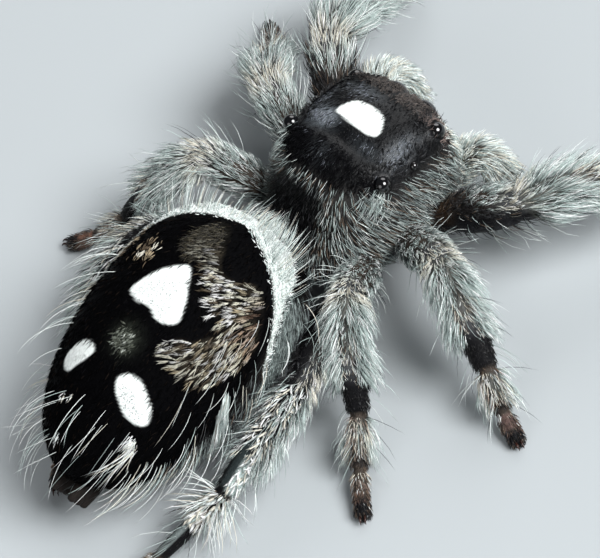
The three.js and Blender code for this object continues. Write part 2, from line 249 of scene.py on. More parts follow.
def jawMaterial():  # metallic green, bluer in patches
    make = Maker("jaw_shell")
    patch = make.ramp(make.noise(1.1), 0.35, 0.68)
    fine = make.noise(12.0, 4.0, (1.0, 1.0, 0.3))
    return make.dress({
        "Base Color": make.shade(make.mix(patch, srgb(22, 96, 84), srgb(38, 62, 112)), fine * 0.9 + 0.45),
        "Metallic": make.ramp(fine, 0.2, 0.8, 0.6, 0.9),
        "Roughness": make.ramp(make.noise(5.0), 0.3, 0.7, 0.26, 0.42),
        "Normal": make.bump(fine, 0.014),
    })


def clawMaterial():
    make = Maker("claw_horn")
    cloud = make.ramp(make.noise(3.0), 0.3, 0.7)
    return make.dress({
        "Base Color": make.mix(cloud, srgb(20, 11, 9), srgb(58, 28, 18)),
        "Roughness": make.ramp(make.noise(18.0), 0.3, 0.7, 0.18, 0.3),
    })


def unit(vectors):
    return vectors / np.maximum(np.linalg.norm(vectors, axis=-1, keepdims=True), 1e-12)


def makeObject(name, points, quads, triangles, material, slot, tint=None, patch=None):
    mesh = bpy.data.meshes.new(name)
    corners = np.concatenate([np.ravel(quads), np.ravel(triangles)]).astype(np.int32)
    sizes = np.concatenate([np.full(len(quads), 4), np.full(len(triangles), 3)])
    mesh.vertices.add(len(points))
    mesh.vertices.foreach_set("co", np.ravel((points + offset) * millimetre).astype(np.float32))
    mesh.loops.add(len(corners))
    mesh.loops.foreach_set("vertex_index", corners)
    mesh.polygons.add(len(sizes))
    mesh.polygons.foreach_set("loop_start", (np.cumsum(sizes) - sizes).astype(np.int32))
    mesh.polygons.foreach_set("use_smooth", np.ones(len(sizes), bool))
    if tint is not None:
        layer = mesh.color_attributes.new("tint", "FLOAT_COLOR", "POINT")
        layer.data.foreach_set("color", np.ravel(np.c_[tint, np.ones(len(tint))]).astype(np.float32))
    if patch is not None:
        layer = mesh.uv_layers.new(name="OFBake")
        layer.uv.foreach_set("vector", np.ravel(patch[corners]).astype(np.float32))
    mesh.update(calc_edges=True)
    mesh.materials.append(material)
    made = bpy.data.objects.new(name, mesh)
    bpy.context.scene.collection.objects.link(made)
    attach(made, "root")
    return made


class Roots:  # where the hairs of a group stand, and the ways out and along there
    def __init__(self, u, v, root, out, along):
        self.u, self.v, self.root, self.out, self.along = u, v, root, out, along
        self.aside = np.cross(out, along)
        self.count = len(u)

    def keep(self, kept):
        return Roots(*[part[kept] for part in (self.u, self.v, self.root, self.out, self.along)])

    def pick(self, palette, jitter=0.18):
        return pick(palette, self.count, jitter)

    def draw(self, low, high):
        return rng.uniform(low, high, self.count)

    def backward(self, jitter=0.22):
        return self.along + rng.normal(0, jitter, self.along.shape)

    def clump(self, lengthwise, round_):  # the number of the tuft that each hair is in
        return (np.floor(self.u * lengthwise) + np.floor(np.mod(self.v, 1) * round_) * 1000).astype(int)


class Surface:  # a closed shape: u runs from its front pole to its rear pole, v once round it
    def __init__(self, place):
        self.place = place

    def around(self, u, v, step=0.003):
        along = self.place(np.clip(u + step, 0, 1), v) - self.place(np.clip(u - step, 0, 1), v)
        across = self.place(u, v + step) - self.place(u, v - step)
        out = np.cross(across, along)
        return self.place(u, v), unit(out), unit(along), np.linalg.norm(out, axis=-1)

    def sow(self, count, density=None):  # a coarse pass finds where, a second one sets the roots
        low, high, margin, fewest = np.array([0.004, 0.0]), np.array([0.996, 1.0]), 0.02, 24000
        density = density or (lambda u, v: np.ones(len(u)))
        spots = rng.uniform(low, high, (fewest // 2, 2))
        weight = density(*spots.T)
        used = spots[weight > 0.01 * weight.max()]
        low = np.maximum(low, used.min(0) - margin)
        high = np.minimum(high, used.max(0) + margin)
        tries = max(fewest, count * 6)
        u, v = rng.uniform(low, high, (tries, 2)).T
        weight = self.around(u, v)[3] * np.clip(density(u, v), 0, None)
        count = min(count, int((weight > 0).sum()))
        chosen = rng.choice(tries, count, replace=False, p=weight / weight.sum())
        u, v = u[chosen], v[chosen]
        return Roots(u, v, *self.around(u, v)[:3])

    def grid(self, rows, columns):
        u = (1 - np.cos(np.linspace(0, np.pi, rows + 1)[1:-1])) / 2
        u = 0.5 * u + 0.5 * np.linspace(0, 1, rows + 1)[1:-1]
        v = np.arange(columns) / columns
        uu, vv = [part.ravel() for part in np.meshgrid(u, v, indexing="ij")]
        uu = np.concatenate([uu, [0.0, 1.0]])
        vv = np.concatenate([vv, [0.25, 0.25]])
        cell = np.arange((rows - 2) * columns).reshape(rows - 2, columns)
        nextOne = np.roll(cell, -1, 1)
        quads = np.stack([cell, cell + columns, nextOne + columns, nextOne], -1).reshape(-1, 4)
        first, last = np.arange(columns), np.arange(columns) + (rows - 2) * columns
        front = np.stack([np.full(columns, len(uu) - 2), first, np.roll(first, -1)], -1)
        rear = np.stack([np.full(columns, len(uu) - 1), np.roll(last, -1), last], -1)
        return uu, vv, quads, np.concatenate([front, rear])


class Skins:  # several grids joined into one piece
    def __init__(self):
        self.parts, self.count = [], 0

    def add(self, surface, rows, columns, tint):
        u, v, quads, triangles = surface.grid(rows, columns)
        points = surface.place(u, v)
        points[:, 2] = np.maximum(points[:, 2], 0.0)
        colours = tint(u, v) if callable(tint) else np.tile(tint, (len(u), 1))
        self.parts.append((points, quads + self.count, triangles + self.count, colours))
        self.count += len(points)

    def build(self, name, material, slot):
        points, quads, triangles, colours = [np.concatenate(part) for part in zip(*self.parts)]
        return makeObject(name, points, quads, triangles, material, slot, colours)


def catmullRom(points, share):  # centripetal, with its ends carried on straight
    points = np.array(points, float)
    points = np.vstack([2 * points[0] - points[1], points, 2 * points[-1] - points[-2]])
    spot = np.clip(np.asarray(share, float), 0, 1) * (len(points) - 3)
    index = np.minimum(spot.astype(int), len(points) - 4)
    t = (spot - index)[..., None]
    a, b, c, d = [points[index + k] for k in range(4)]
    before, here, after = [
        np.sqrt(np.maximum(np.linalg.norm(q - p, axis=-1, keepdims=True), 1e-9))
        for p, q in ((a, b), (b, c), (c, d))
    ]
    leave = ((b - a) / before - (c - a) / (before + here) + (c - b) / here) * here
    arrive = ((c - b) / here - (d - b) / (here + after) + (d - c) / after) * here
    bend = -3 * b + 3 * c - 2 * leave - arrive
    close = 2 * b - 2 * c + leave + arrive
    return b + t * (leave + t * (bend + t * close))


class Coat:  # many thin closed blades of three sides, joined into one piece
    patchSize = 0.003
    sink = 0.04  # how deep the roots lie below the skin
    floor = 0.015
    usual = {"shade": 1.0, "tip": None, "sway": 0.25, "thin": 1.0, "profile": (1.0, 0.9, 0.66),
             "clump": None, "pull": 0.0}

    def __init__(self, rings=3):
        self.rings = rings
        self.points, self.tints, self.patches = [], [], []

    def begin(self, surface, group, density=None):  # the roots and the colours of a group of hairs
        at = surface.sow(group["many"], density)
        return at, at.pick(group["colours"], group.get("jitter", 0.18))

    def grow(self, surface, group, density=None, lie=None):
        at, tone = self.begin(surface, group, density)
        tone = capped(tone) if "capped" in group else tone
        self.add(at, lie(at) if lie else at.along, tone, group)

    # A group's length, width and first lift are numbers, arrays, or spans to draw from. Lift is in
    # degrees off the skin, at the root and at the tip, and shade darkens the root.
    def add(self, at, lie, tone, group, **special):
        group = {**self.usual, **group, **special}
        if at.count == 0:
            return
        sizes = []
        for span in (group["length"], group["width"], group["lift"][0]):
            drawn = at.draw(*span) if isinstance(span, tuple) else span
            sizes.append(np.broadcast_to(drawn, at.count)[:, None])
        length, width, start = sizes
        out = at.out
        lie = unit(lie - out * (lie * out).sum(-1, keepdims=True))
        side = np.cross(lie, out)
        sway = rng.normal(0, 1, (at.count, 1)) * group["sway"]
        end = np.broadcast_to(group["lift"][1], at.count)[:, None]
        spot = at.root - out * self.sink
        path, aims = [spot], []
        for ring in range(self.rings):
            share = (ring + 0.5) / self.rings
            angle = (start + (end - start) * share) * math.pi / 180
            aim = lie * np.cos(sway * share) + side * np.sin(sway * share)
            aim = aim * np.cos(angle) + out * np.sin(angle)
            spot = spot + aim * length / self.rings
            aims.append(aim)
            path.append(spot)
        if group["clump"] is not None:
            clump = at.clump(*group["clump"]) if isinstance(group["clump"], tuple) else group["clump"]
            which = np.unique(clump, return_inverse=True)[1]
            size = np.bincount(which)[:, None]
            mean = np.stack([np.bincount(which, path[-1][:, k]) for k in range(3)], -1) / size
            shift = (mean[which] - path[-1]) * group["pull"]
            path = [spot + shift * (k / self.rings) ** 2 for k, spot in enumerate(path)]
        shares = np.arange(self.rings) / self.rings
        stout = np.interp(shares, (0, 0.33, 0.67, 1), (*group["profile"], 0.3))
        rows = []
        for ring, aim in enumerate(aims):
            across = unit(np.cross(aim, out))
            rise = np.cross(across, aim)
            reach = width * 0.5 * stout[ring]
            for corner in np.radians([90, 210, 330]):
                around = across * np.cos(corner) + rise * np.sin(corner) * group["thin"]
                rows.append(path[ring] + around * reach)
        points = np.stack([*rows, path[-1]], 1)
        points[..., 2] = np.maximum(points[..., 2], self.floor)
        share = np.append(np.repeat(shares, 3), 1.0)[None, :, None]
        tip = tone if group["tip"] is None else group["tip"]
        spread = np.append(np.tile([0.0, -0.5, 0.5], self.rings), 0.0)
        local = np.stack([spread, share[0, :, 0] - 0.5], -1) * self.patchSize
        centre = np.stack([np.clip(at.u, 0, 1), np.mod(at.v, 1)], -1)
        self.points.append(points)
        self.tints.append((tone * group["shade"])[:, None] * (1 - share) + tip[:, None] * share)
        self.patches.append(centre[:, None] + local[None])

    def build(self, name, material, slot):
        points, tints, patches = [np.concatenate(p) for p in (self.points, self.tints, self.patches)]
        count, size = points.shape[:2]
        sides = [(1, 0, 3, 4), (2, 1, 4, 5), (0, 2, 5, 3)]
        quads = np.array([[k + 3 * ring for k in face] for ring in range(self.rings - 1) for face in sides])
        a = 3 * (self.rings - 1)
        b, c, d = a + 1, a + 2, a + 3
        triangles = np.array([(0, 1, 2), (b, a, d), (c, b, d), (a, c, d)])
        base = (np.arange(count) * size)[:, None, None]
        faces = [(kind[None] + base).reshape(-1, kind.shape[1]) for kind in (quads, triangles)]
        tints, patches = tints.reshape(-1, 3), np.clip(patches.reshape(-1, 2), 0, 1)
        makeObject(name, points.reshape(-1, 3), *faces, material, slot, tints, patches)
        print(f"{name}: {count} hairs")


carapace = {
    "outline": [  # y, half width, top
        (3.2, 0.3, 3.3), (3.12, 1.7, 4.1), (2.65, 2.25, 4.62), (1.7, 2.45, 4.98), (0.6, 2.58, 5.1),
        (-0.4, 2.6, 5.02), (-1.3, 2.35, 4.35), (-2.1, 1.85, 3.35), (-2.8, 1.15, 2.55), (-3.1, 0.2, 2.2),
    ],
    "underside": [  # bottom, height of the widest line, squareness above it
        (2.6, 3.0, 0.8), (2.0, 2.7, 0.7), (1.4, 2.3, 0.62), (1.2, 2.0, 0.62), (1.1, 1.95, 0.7),
        (1.1, 1.95, 0.82), (1.1, 1.95, 0.9), (1.2, 1.9, 1.0), (1.5, 1.9, 1.0), (1.75, 1.9, 1.0),
    ],
    "inset": 0.03,
    "rows": 190,
    "columns": 240,
    # the rim and the low mound round each eye, in radii of the eye
    "rim": {"rise": 0.16, "middle": 1.18, "reach": 0.26, "mound": 0.1, "foot": 2.0},
    "furrow": {"depth": 0.11, "y": 0.4, "reach": 0.3, "ends": (2.2, 1.2)},
    "pit": {"depth": 0.05, "y": -0.5, "long": 0.5, "wide": 0.16},
    "top": (3.6, 4.4),  # heights between which the furrow and the pit fade in
    "spot": [  # a painted highlight between the eyes, laid as a white patch: x, y
        (-0.8, 1.12), (-0.62, 1.66), (-0.3, 1.86), (0.3, 1.88), (0.7, 1.74), (1.02, 1.2),
        (0.8, 0.98), (0.2, 0.96), (-0.5, 1.0),
    ],
    "patches": [  # soft grey patches of the top, partly grey scales and partly painted sheen: x, y, half sizes and strength
        (-1.08, 0.72, 0.46, 0.32, 2.2), (1.8, 1.3, 0.26, 0.6, 0.85), (-1.8, 1.4, 0.3, 0.5, 0.45),
        (-0.76, 2.25, 0.7, 0.26, 0.4), (-0.2, -0.4, 0.5, 0.32, 0.22), (1.15, 0.6, 0.6, 0.25, 0.26),
    ],
}
eyes = []  # name, centre and radius, the four front ones first
for row in ("anterior_median", "anterior_lateral", "posterior_median", "posterior_lateral"):
    for side in sideNames:
        middle, size = boxOf(f"eye_{row}_{side}")
        eyes.append((f"eye_{row}_{side}", middle - offset, size[1] / 2))


def signedPower(value, power):
    return np.sign(value) * np.abs(value) ** power


def carapacePlain(u, v):
    u, v = np.broadcast_arrays(np.asarray(u, float), np.asarray(v, float))
    y, halfWidth, top = np.moveaxis(catmullRom(carapace["outline"], u), -1, 0)
    bottom, margin, square = np.moveaxis(catmullRom(carapace["underside"], u), -1, 0)
    angle = v * math.tau
    up = np.sin(angle) >= 0
    inset = carapace["inset"]
    atPole = (u < 1e-6) | (u > 1 - 1e-6)
    side = signedPower(np.cos(angle), np.where(up, square, 1.4))
    reach = np.where(up, top - margin, margin - bottom) - inset
    height = margin + reach * signedPower(np.sin(angle), np.where(up, square, 0.8))
    height = np.where(atPole, (top + margin) / 2, height)
    return np.stack([np.where(atPole, 0, (halfWidth - inset) * side), y, height], -1)


def carapacePlace(u, v):
    base, out, _, _ = Surface(carapacePlain).around(u, v, 0.004)
    x, y, z = np.moveaxis(base, -1, 0)
    rise = np.zeros_like(x)
    rim, furrow, pit = carapace["rim"], carapace["furrow"], carapace["pit"]
    for _, centre, radius in eyes:  # each eye sits in a raised rim
        gap = np.linalg.norm(base - centre, axis=-1) / radius
        ring = rim["rise"] * hump(gap, rim["middle"], rim["reach"])
        rise = rise + radius * (ring + rim["mound"] * hump(gap, 0, rim["foot"]))
    across = furrow["depth"] * hump(y, furrow["y"], furrow["reach"]) * smooth(*furrow["ends"], np.abs(x))
    lengthwise = pit["depth"] * hump(y, pit["y"], pit["long"]) * hump(x, 0, pit["wide"])
    rise = rise - smooth(*carapace["top"], z) * (across + lengthwise)
    return base + out * rise[..., None]


shell = Surface(carapacePlace)


def outlineOf(points, steps=4):  # a smooth closed outline through a few points
    points = np.array(points, float)
    t = (np.arange(steps) / steps)[None, :, None]
    a, b, c, d = [np.roll(points, shift, 0)[:, None] for shift in (1, 0, -1, -2)]
    curve = b + 0.5 * t * (c - a + t * (2 * a - 5 * b + 4 * c - d + t * (3 * (b - c) + d - a)))
    return curve.reshape(-1, 2)


def depthIn(x, y, outline, far=0.6):  # how far inside a closed outline points are, negative outside
    everyPoint = np.stack([np.ravel(x), np.ravel(y)], -1)
    near = ((everyPoint > outline.min(0) - far) & (everyPoint < outline.max(0) + far)).all(1)
    points = everyPoint[near]
    ends = np.roll(outline, -1, 0)
    edge = ends - outline
    reach = points[:, None] - outline[None]
    t = np.clip((reach * edge).sum(-1) / (edge**2).sum(-1), 0, 1)
    gap = np.linalg.norm(reach - t[..., None] * edge, axis=-1).min(1)
    between = (outline[:, 1] > points[:, 1:]) != (ends[:, 1] > points[:, 1:])
    slope = edge[:, 0] / np.where(np.abs(edge[:, 1]) < 1e-9, 1e-9, edge[:, 1])
    left = points[:, :1] < outline[:, 0] + slope * (points[:, 1:] - outline[:, 1])
    inside = (between & left).sum(1) % 2 == 1
    depth = np.full(len(everyPoint), -far)
    depth[near] = np.where(inside, gap, -np.minimum(gap, far))
    return depth.reshape(np.shape(x))


def mottle(along, across):  # 0 to 1, in patches about half a millimetre across
    wave = np.sin(4.3 * across + 1.9 * np.sin(2.7 * along))
    return 0.5 + 0.5 * wave * np.sin(5.1 * along + 1.7 * np.sin(3.3 * across))


headHighlight = outlineOf(carapace["spot"])


def headMarks(points):  # how far each area of the head's colours holds
    x, y, z = np.moveaxis(points, -1, 0)
    # grey patches, partly scales and partly painted sheen
    patch = np.max([share * hump(x, atX, wide) * hump(y, atY, deep)
                    for atX, atY, wide, deep, share in carapace["patches"]], axis=0)
    patch = patch * smooth(3.9, 4.6, z) * (0.45 + 0.75 * mottle(2.1 * y, 2.4 * x))
    rim = smooth(2.35, 2.7, y) * smooth(3.2, 3.8, z)
    slope = smooth(-0.72, -1.1, y - 0.5 * np.maximum(np.abs(x) - 0.85, 0))
    # painted shade: less grey hair on the left rear flank
    leftRearShade = smooth(-1.2, -2.2, x) * smooth(-1.4, -0.6, y)
    flank = smooth(4.3, 3.75, z + 0.3 * smooth(0, 2.5, y) + 0.35 * leftRearShade)
    return {
        # the white patch between the eyes, a painted highlight
        "spot": np.where(z > 4.4, depthIn(x, y, headHighlight), -1.0),
        "patch": patch,
        "rim": rim,
        # painted shade on the left and middle of the rear slope, over a darker midline
        "dark": within(x, -2.1, -1.2, 0.5, 0.95) * smooth(-1.0, -1.3, y) * smooth(2.2, 2.8, z),
        "grey": np.maximum(slope, flank) * (1 - rim),
        "face": smooth(2.6, 2.95, y) * smooth(4.0, 3.4, z),
        "below": smooth(1.9, 1.4, z),
    }


def headShare(name, power=1):  # one of those areas, as a density of hair
    return lambda u, v: headMarks(carapacePlace(u, v))[name] ** power


def headTint(u, v):
    marks = headMarks(carapacePlace(u, v))
    return layered(srgb(9, 10, 12), len(u), [
        # no grey skin under the rear slope's painted shade
        (srgb(40, 39, 38), marks["grey"] * (1 - marks["dark"])),
        (srgb(38, 28, 22), marks["below"]),
        # grey patches, partly painted sheen
        (srgb(104, 111, 117), marks["patch"] * 0.75),
        # the painted highlight between the eyes
        (patchWhite, smooth(-0.02, 0.04, marks["spot"])),
    ])


def buildCarapace(materials):
    skins = Skins()
    skins.add(shell, carapace["rows"], carapace["columns"], headTint)
    made = skins.build("carapace", materials["shell"], "shell")
    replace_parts(made, "cephalothorax")


def ball(centre, radius):
    def place(u, v):
        u, v = np.broadcast_arrays(u, v)
        polar, angle = u * math.pi, v * math.tau
        spot = [np.sin(polar) * np.cos(angle), np.cos(polar), np.sin(polar) * np.sin(angle)]
        return np.stack(spot, -1) * radius + centre

    return Surface(place)


eyeLens = {"rows": 28, "columns": 40}


def buildEyes(materials):
    for name, centre, radius in eyes:
        surface = ball(centre, radius)
        u, v, quads, triangles = surface.grid(eyeLens["rows"], eyeLens["columns"])
        made = makeObject(name + "_lens", surface.place(u, v), quads, triangles, materials["eye"], "eye")
        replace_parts(made, name)


class Tube(Surface):  # round a path of several curves joined end to end, with domed ends
    def __init__(self, curves, radii, scale=1.0, less=0.0, soften=0.0):
        spots, widths, marks, start = [], [], [0.0], 0.0
        for points, stops in zip(curves, radii):
            dense = catmullRom(points, np.linspace(0, 1, 241))
            run = lengthsAlong(dense)
            shares = np.linspace(0, 1, 121)
            even = np.stack([np.interp(shares * run[-1], run, dense[:, k]) for k in range(3)], -1)
            for middle in points[1:-1]:
                marks.append(start + run[np.argmin(np.linalg.norm(dense - middle, axis=1))])
            table = np.array(stops)
            keep = slice(0 if not spots else 1, None)
            spots.append(even[keep])
            widths.append(np.interp(shares, table[:, 0], table[:, 1])[keep] * scale - less)
            start += run[-1]
            marks.append(start)
        centre, width = np.concatenate(spots), np.concatenate(widths)
        if soften:
            reach = lengthsAlong(centre)
            weight = hump(reach[:, None], reach[None], soften)
            edge = np.minimum(reach, reach[-1] - reach)[:, None] / soften
            eased = weight @ centre / weight.sum(1, keepdims=True)
            centre = centre + (eased - centre) * np.clip(edge, 0, 1)
            width = weight @ width / weight.sum(1)
        self.reach = lengthsAlong(centre)
        self.marks = np.array(marks) * self.reach[-1] / start
        self.centre, self.width = centre, width
        self.aim = unit(np.gradient(centre, self.reach, axis=0))
        self.cap = (width[0], width[-1])
        super().__init__(self.surfacePlace)

    def spot(self, u):  # distance along the path
        return np.asarray(u) * (self.reach[-1] + sum(self.cap)) - self.cap[0]

    def read(self, distance):
        centre, aim = [
            np.stack([np.interp(distance, self.reach, table[:, k]) for k in range(3)], -1)
            for table in (self.centre, self.aim)
        ]
        aim = unit(aim)
        across = unit(np.cross(aim, np.array([0.0, 0.0, 1.0])))
        return centre, aim, across, np.cross(across, aim)

    def surfacePlace(self, u, v):
        u, v = np.broadcast_arrays(np.asarray(u, float), np.asarray(v, float))
        distance = self.spot(u)
        inside = np.clip(distance, 0, self.reach[-1])
        width = np.interp(inside, self.reach, self.width)
        over = np.abs(distance - inside) / np.maximum(width, 1e-6)
        radius = (width * np.sqrt(np.clip(1 - over**2, 0, 1)))[..., None]
        centre, aim, across, above = self.read(inside)
        angle = v[..., None] * math.tau
        return centre + aim * (distance - inside)[..., None] + (
            above * np.sin(angle) - across * np.cos(angle)) * radius

    def stage(self, u):  # which length of the limb, and how far along it
        return np.interp(self.spot(u), self.marks, np.arange(len(self.marks)))


def lengthsAlong(points):
    return np.r_[0, np.cumsum(np.linalg.norm(np.diff(points, axis=0), axis=1))]


def simpleTube(points, radii, less=0.0, soften=0.0):
    return Tube([[np.array(p, float) for p in points]], [radii], 1.0, less, soften)


def mirror(point, side):
    return (point[0] * sideNames[side], point[1], point[2])


legs = {  # hip, the two ends of the knee piece, ankle, start of the foot and its tip
    1: {"stout": 1.15,
        "right": [(2.0, 1.2, 1.25), (5.25, 2.5, 2.95), (6.4, 4.2, 3.1), (7.4, 6.0, 1.7), (7.6, 7.6, 0.7),
                  (7.7, 8.4, 0)],
        "left": [(-2.0, 1.4, 1.8), (-4.0, 3.4, 3.4), (-4.5, 4.8, 3.2), (-5.0, 6.8, 1.8), (-5.7, 8.2, 0.7),
                 (-6.1, 9.0, 0)]},
    2: {"stout": 1.0,
        "right": [(2.0, 0.0, 1.7), (4.8, -0.5, 3.3), (6.1, -1.1, 3.0), (7.75, -1.95, 1.6), (8.7, -2.5, 0.6),
                  (9.4, -2.8, 0)],
        "left": [(-2.1, 0.2, 1.7), (-4.5, 1.1, 3.4), (-5.4, 1.8, 3.0), (-6.5, 2.6, 1.6), (-7.5, 3.3, 0.7),
                 (-8.3, 3.8, 0)]},
    3: {"stout": 0.95,
        "right": [(1.9, -1.2, 1.7), (3.4, -3.2, 3.5), (4.4, -4.3, 3.1), (5.5, -5.5, 1.5), (6.4, -6.7, 0.6),
                  (7.3, -7.6, 0)],
        "left": [(-1.9, -1.2, 1.7), (-4.3, -2.1, 3.4), (-5.2, -3.4, 2.8), (-6.0, -4.7, 1.4),
                 (-7.0, -5.5, 0.6), (-7.7, -6.0, 0)]},
    4: {"stout": 1.0,
        "right": [(1.7, -2.0, 1.55), (4.05, -6.1, 2.9), (4.2, -7.8, 2.5), (4.1, -10.1, 1.6),
                  (3.4, -12.7, 0.6), (3.0, -14.0, 0)],
        "left": [(-1.7, -2.0, 1.55), (-4.3, -5.3, 2.7), (-4.4, -7.2, 2.1), (-3.5, -9.6, 1.0),
                 (-2.3, -11.5, 0.5), (-1.5, -12.7, 0)]},
}
legShape = {
    "femur": [(0, 0.54), (0.22, 0.45), (0.45, 0.62), (0.7, 0.64), (1, 0.48)],
    "tibia": [(0, 0.48), (0.2, 0.54), (0.4, 0.45), (0.7, 0.5), (1, 0.38)],
    "foot": [(0, 0.38), (0.35, 0.31), (0.65, 0.28), (1, 0.3)],
    "footLift": 0.22,
    "inset": 0.05,
    "soften": 0.22,
    "rows": 150,
    "columns": 28,
    "notches": [(1, 0.07), (2, 0.06), (3, 0.08), (4, 0.05)],  # which joint, and how deep
    "notchReach": 0.11,
}
# Along a leg, 0 to 1 is the thigh, then the knee piece, the shin, the ankle piece and the foot.
bandColumns = {"hair": 1, "skin": 2, "length": 3, "many": 4}
legBands = [  # place, and the columns named above
    (0.0, midGrey, thighSkin, 0.5, 0.8), (0.3, midGrey, thighSkin, 0.55, 0.9),
    (0.8, paleGrey, thighSkin, 0.65, 1.0), (0.96, cream, darkGrey, 0.6, 1.3),
    (1.08, cream, darkGrey, 0.7, 1.4), (1.25, paleGrey, legSkin, 0.95, 1.2),
    (2.0, paleGrey, legSkin, 1.1, 1.2), (2.35, paleGrey, darkGrey, 1.05, 1.3),
    (2.5, paleGrey, soot, 0.95, 1.5), (2.58, black, black, 0.3, 1.1),
    (2.84, black, black, 0.28, 0.9), (2.94, black, black, 0.3, 0.9),
    (2.99, brown, thighSkin, 0.36, 1.1), (3.06, brown, thighSkin, 0.42, 1.2),
    (3.2, cream, legSkin, 0.6, 1.5), (3.6, cream, legSkin, 0.55, 1.3),
    (3.74, brown, thighSkin, 0.36, 1.0), (3.85, soot, black, 0.28, 0.9),
    (3.96, brown, thighSkin, 0.28, 1.0), (4.06, cream, thighSkin, 0.36, 1.6),
    (4.3, footGrey, thighSkin, 0.34, 1.9), (4.6, redBrown, thighSkin, 0.3, 1.7),
    (4.85, soot, black, 0.24, 1.2), (5.0, black, black, 0.24, 1.4),
]
darkFeet = {("right", 2): srgb(84, 68, 64), ("left", 3): redBrown}


class Leg(Tube):
    def __init__(self, number, side):
        points = [np.array(p, float) for p in legs[number][side]]
        points[-1][2] = legShape["footLift"]
        curves = [points[:2], points[1:4], points[3:]]
        radii = [legShape[part] for part in ("femur", "tibia", "foot")]
        super().__init__(curves, radii, legs[number]["stout"], legShape["inset"], legShape["soften"])
        for joint, depth in legShape["notches"]:
            self.width = self.width - depth * hump(self.reach, self.marks[joint], legShape["notchReach"])
        self.number, self.side = number, side
        self.bare, self.scaly = number == 1, number == 4


def alongBands(stage, column):
    places = [stop[0] for stop in legBands]
    table = np.array([np.atleast_1d(stop[bandColumns[column]]) for stop in legBands], float)
    found = np.stack([np.interp(stage, places, table[:, k]) for k in range(table.shape[1])], -1)
    return found if found.shape[-1] > 1 else found[..., 0]


def heightAt(v):  # 1 along the top of a leg and -1 along its underside
    return np.sin(v * math.tau)


def facingUp(leg, u, v):
    out = leg.around(u, v)[1]
    return out[..., 2] + 0.5 * out[..., 1]


def lowSide(leg, u, v):  # the bare glossy underside of the front thighs, painted black, partly as painted shade
    return smooth(0.3, -0.1, facingUp(leg, u, v)) * within(leg.stage(u), 0.1, 0.3, 1.1, 1.35)


def shadeSide(leg, u, v):  # the dark hair above that bare side, which reaches highest at the root
    stage = leg.stage(u)
    top = 0.95 - 0.6 * smooth(0.35, 1.0, stage)
    return smooth(top + 0.12, top - 0.12, facingUp(leg, u, v)) * smooth(1.2, 1.0, stage)


def shadedInnerSide(leg, u, v):  # painted shade on the side that the hind thighs turn to the abdomen
    facing = leg.around(u, v)[1]
    inward = 0.6 * facing[..., 2] - sideNames[leg.side] * facing[..., 0]
    return smooth(0.0, 0.5, inward) * smooth(1.4, 1.15, leg.stage(u))


def legColour(leg, u, v, column):
    stage, height = leg.stage(u), heightAt(v)
    colour = alongBands(stage, column)
    if (leg.side, leg.number) in darkFeet:
        colour = blend(colour, darkFeet[leg.side, leg.number], within(stage, 4.0, 4.12, 4.6, 4.75))
    if leg.scaly:
        stripe = blend(np.tile(black, (len(stage), 1)), midGrey, smooth(0.8, 0.95, height) * 0.85)
        colour = blend(colour, stripe, within(stage, 3.35, 3.5, 3.95, 4.05))
        if column == "skin":
            colour = blend(colour, black, within(stage, 1.0, 1.2, 3.2, 3.3))
        outer = np.abs(np.cos(v * math.tau - 0.35))
        colour = blend(colour, paleGrey, smooth(0.5, 0.75, outer) * within(stage, 2.4, 2.55, 2.92, 2.98))
        colour = blend(colour, slate, smooth(0.86, 0.95, height) * within(stage, 2.1, 2.25, 2.92, 2.98))
        # black painted shade on the hind legs' inner side
        colour = blend(colour, black, shadedInnerSide(leg, u, v))
    if leg.bare:
        # black on the bare underside, partly painted shade
        colour = blend(colour, black, lowSide(leg, u, v))
        colour = blend(colour, soot, 0.7 * shadeSide(leg, u, v))
        colour = blend(colour, srgb(104, 80, 58), smooth(0.5, 0.3, stage) * smooth(0.0, 0.6, height) * 0.4)
    return colour


abdomen = {
    "centre": (0.1, -8.1, 3.35), "length": 9.9, "halfWidth": 3.25, "rise": 2.75, "drop": 2.6,
    "pitch": 0.17, "inset": 0.04, "rows": 250, "columns": 300,
}
pitchTurn = np.array(Matrix.Rotation(abdomen["pitch"], 3, "X"))


def abdomenLocal(points):  # from the abdomen's own axes to the layout's
    return points @ pitchTurn.T + abdomen["centre"]


def eggWidth(share):
    share = np.clip(share, 0, 1)
    return abdomen["halfWidth"] * np.sqrt(np.clip(1 - np.abs(2 * share**0.75 - 1) ** 2.3, 0, 1))


def abdomenPlace(u, v):
    u, v = np.broadcast_arrays(np.asarray(u, float), np.asarray(v, float))
    share = (1 - np.cos(u * math.pi)) / 2
    angle = v * math.tau
    inset = abdomen["inset"]
    ratio = np.where(np.sin(angle) > 0, abdomen["rise"], abdomen["drop"]) / abdomen["halfWidth"]
    width = np.clip(eggWidth(share) - inset, 0, None)
    spot = [width * np.cos(angle), (0.5 - share) * (abdomen["length"] - 2 * inset),
            width * ratio * np.sin(angle)]
    return abdomenLocal(np.stack(spot, -1))


belly = Surface(abdomenPlace)


def bellyMap(u, v):  # along the back from its middle, and across from the midline, right being more
    share = (1 - np.cos(u * math.pi)) / 2
    turn = np.mod(v * math.tau + math.pi / 2, math.tau) - math.pi / 2
    return (0.5 - share) * abdomen["length"], eggWidth(share) * (math.pi / 2 - turn)


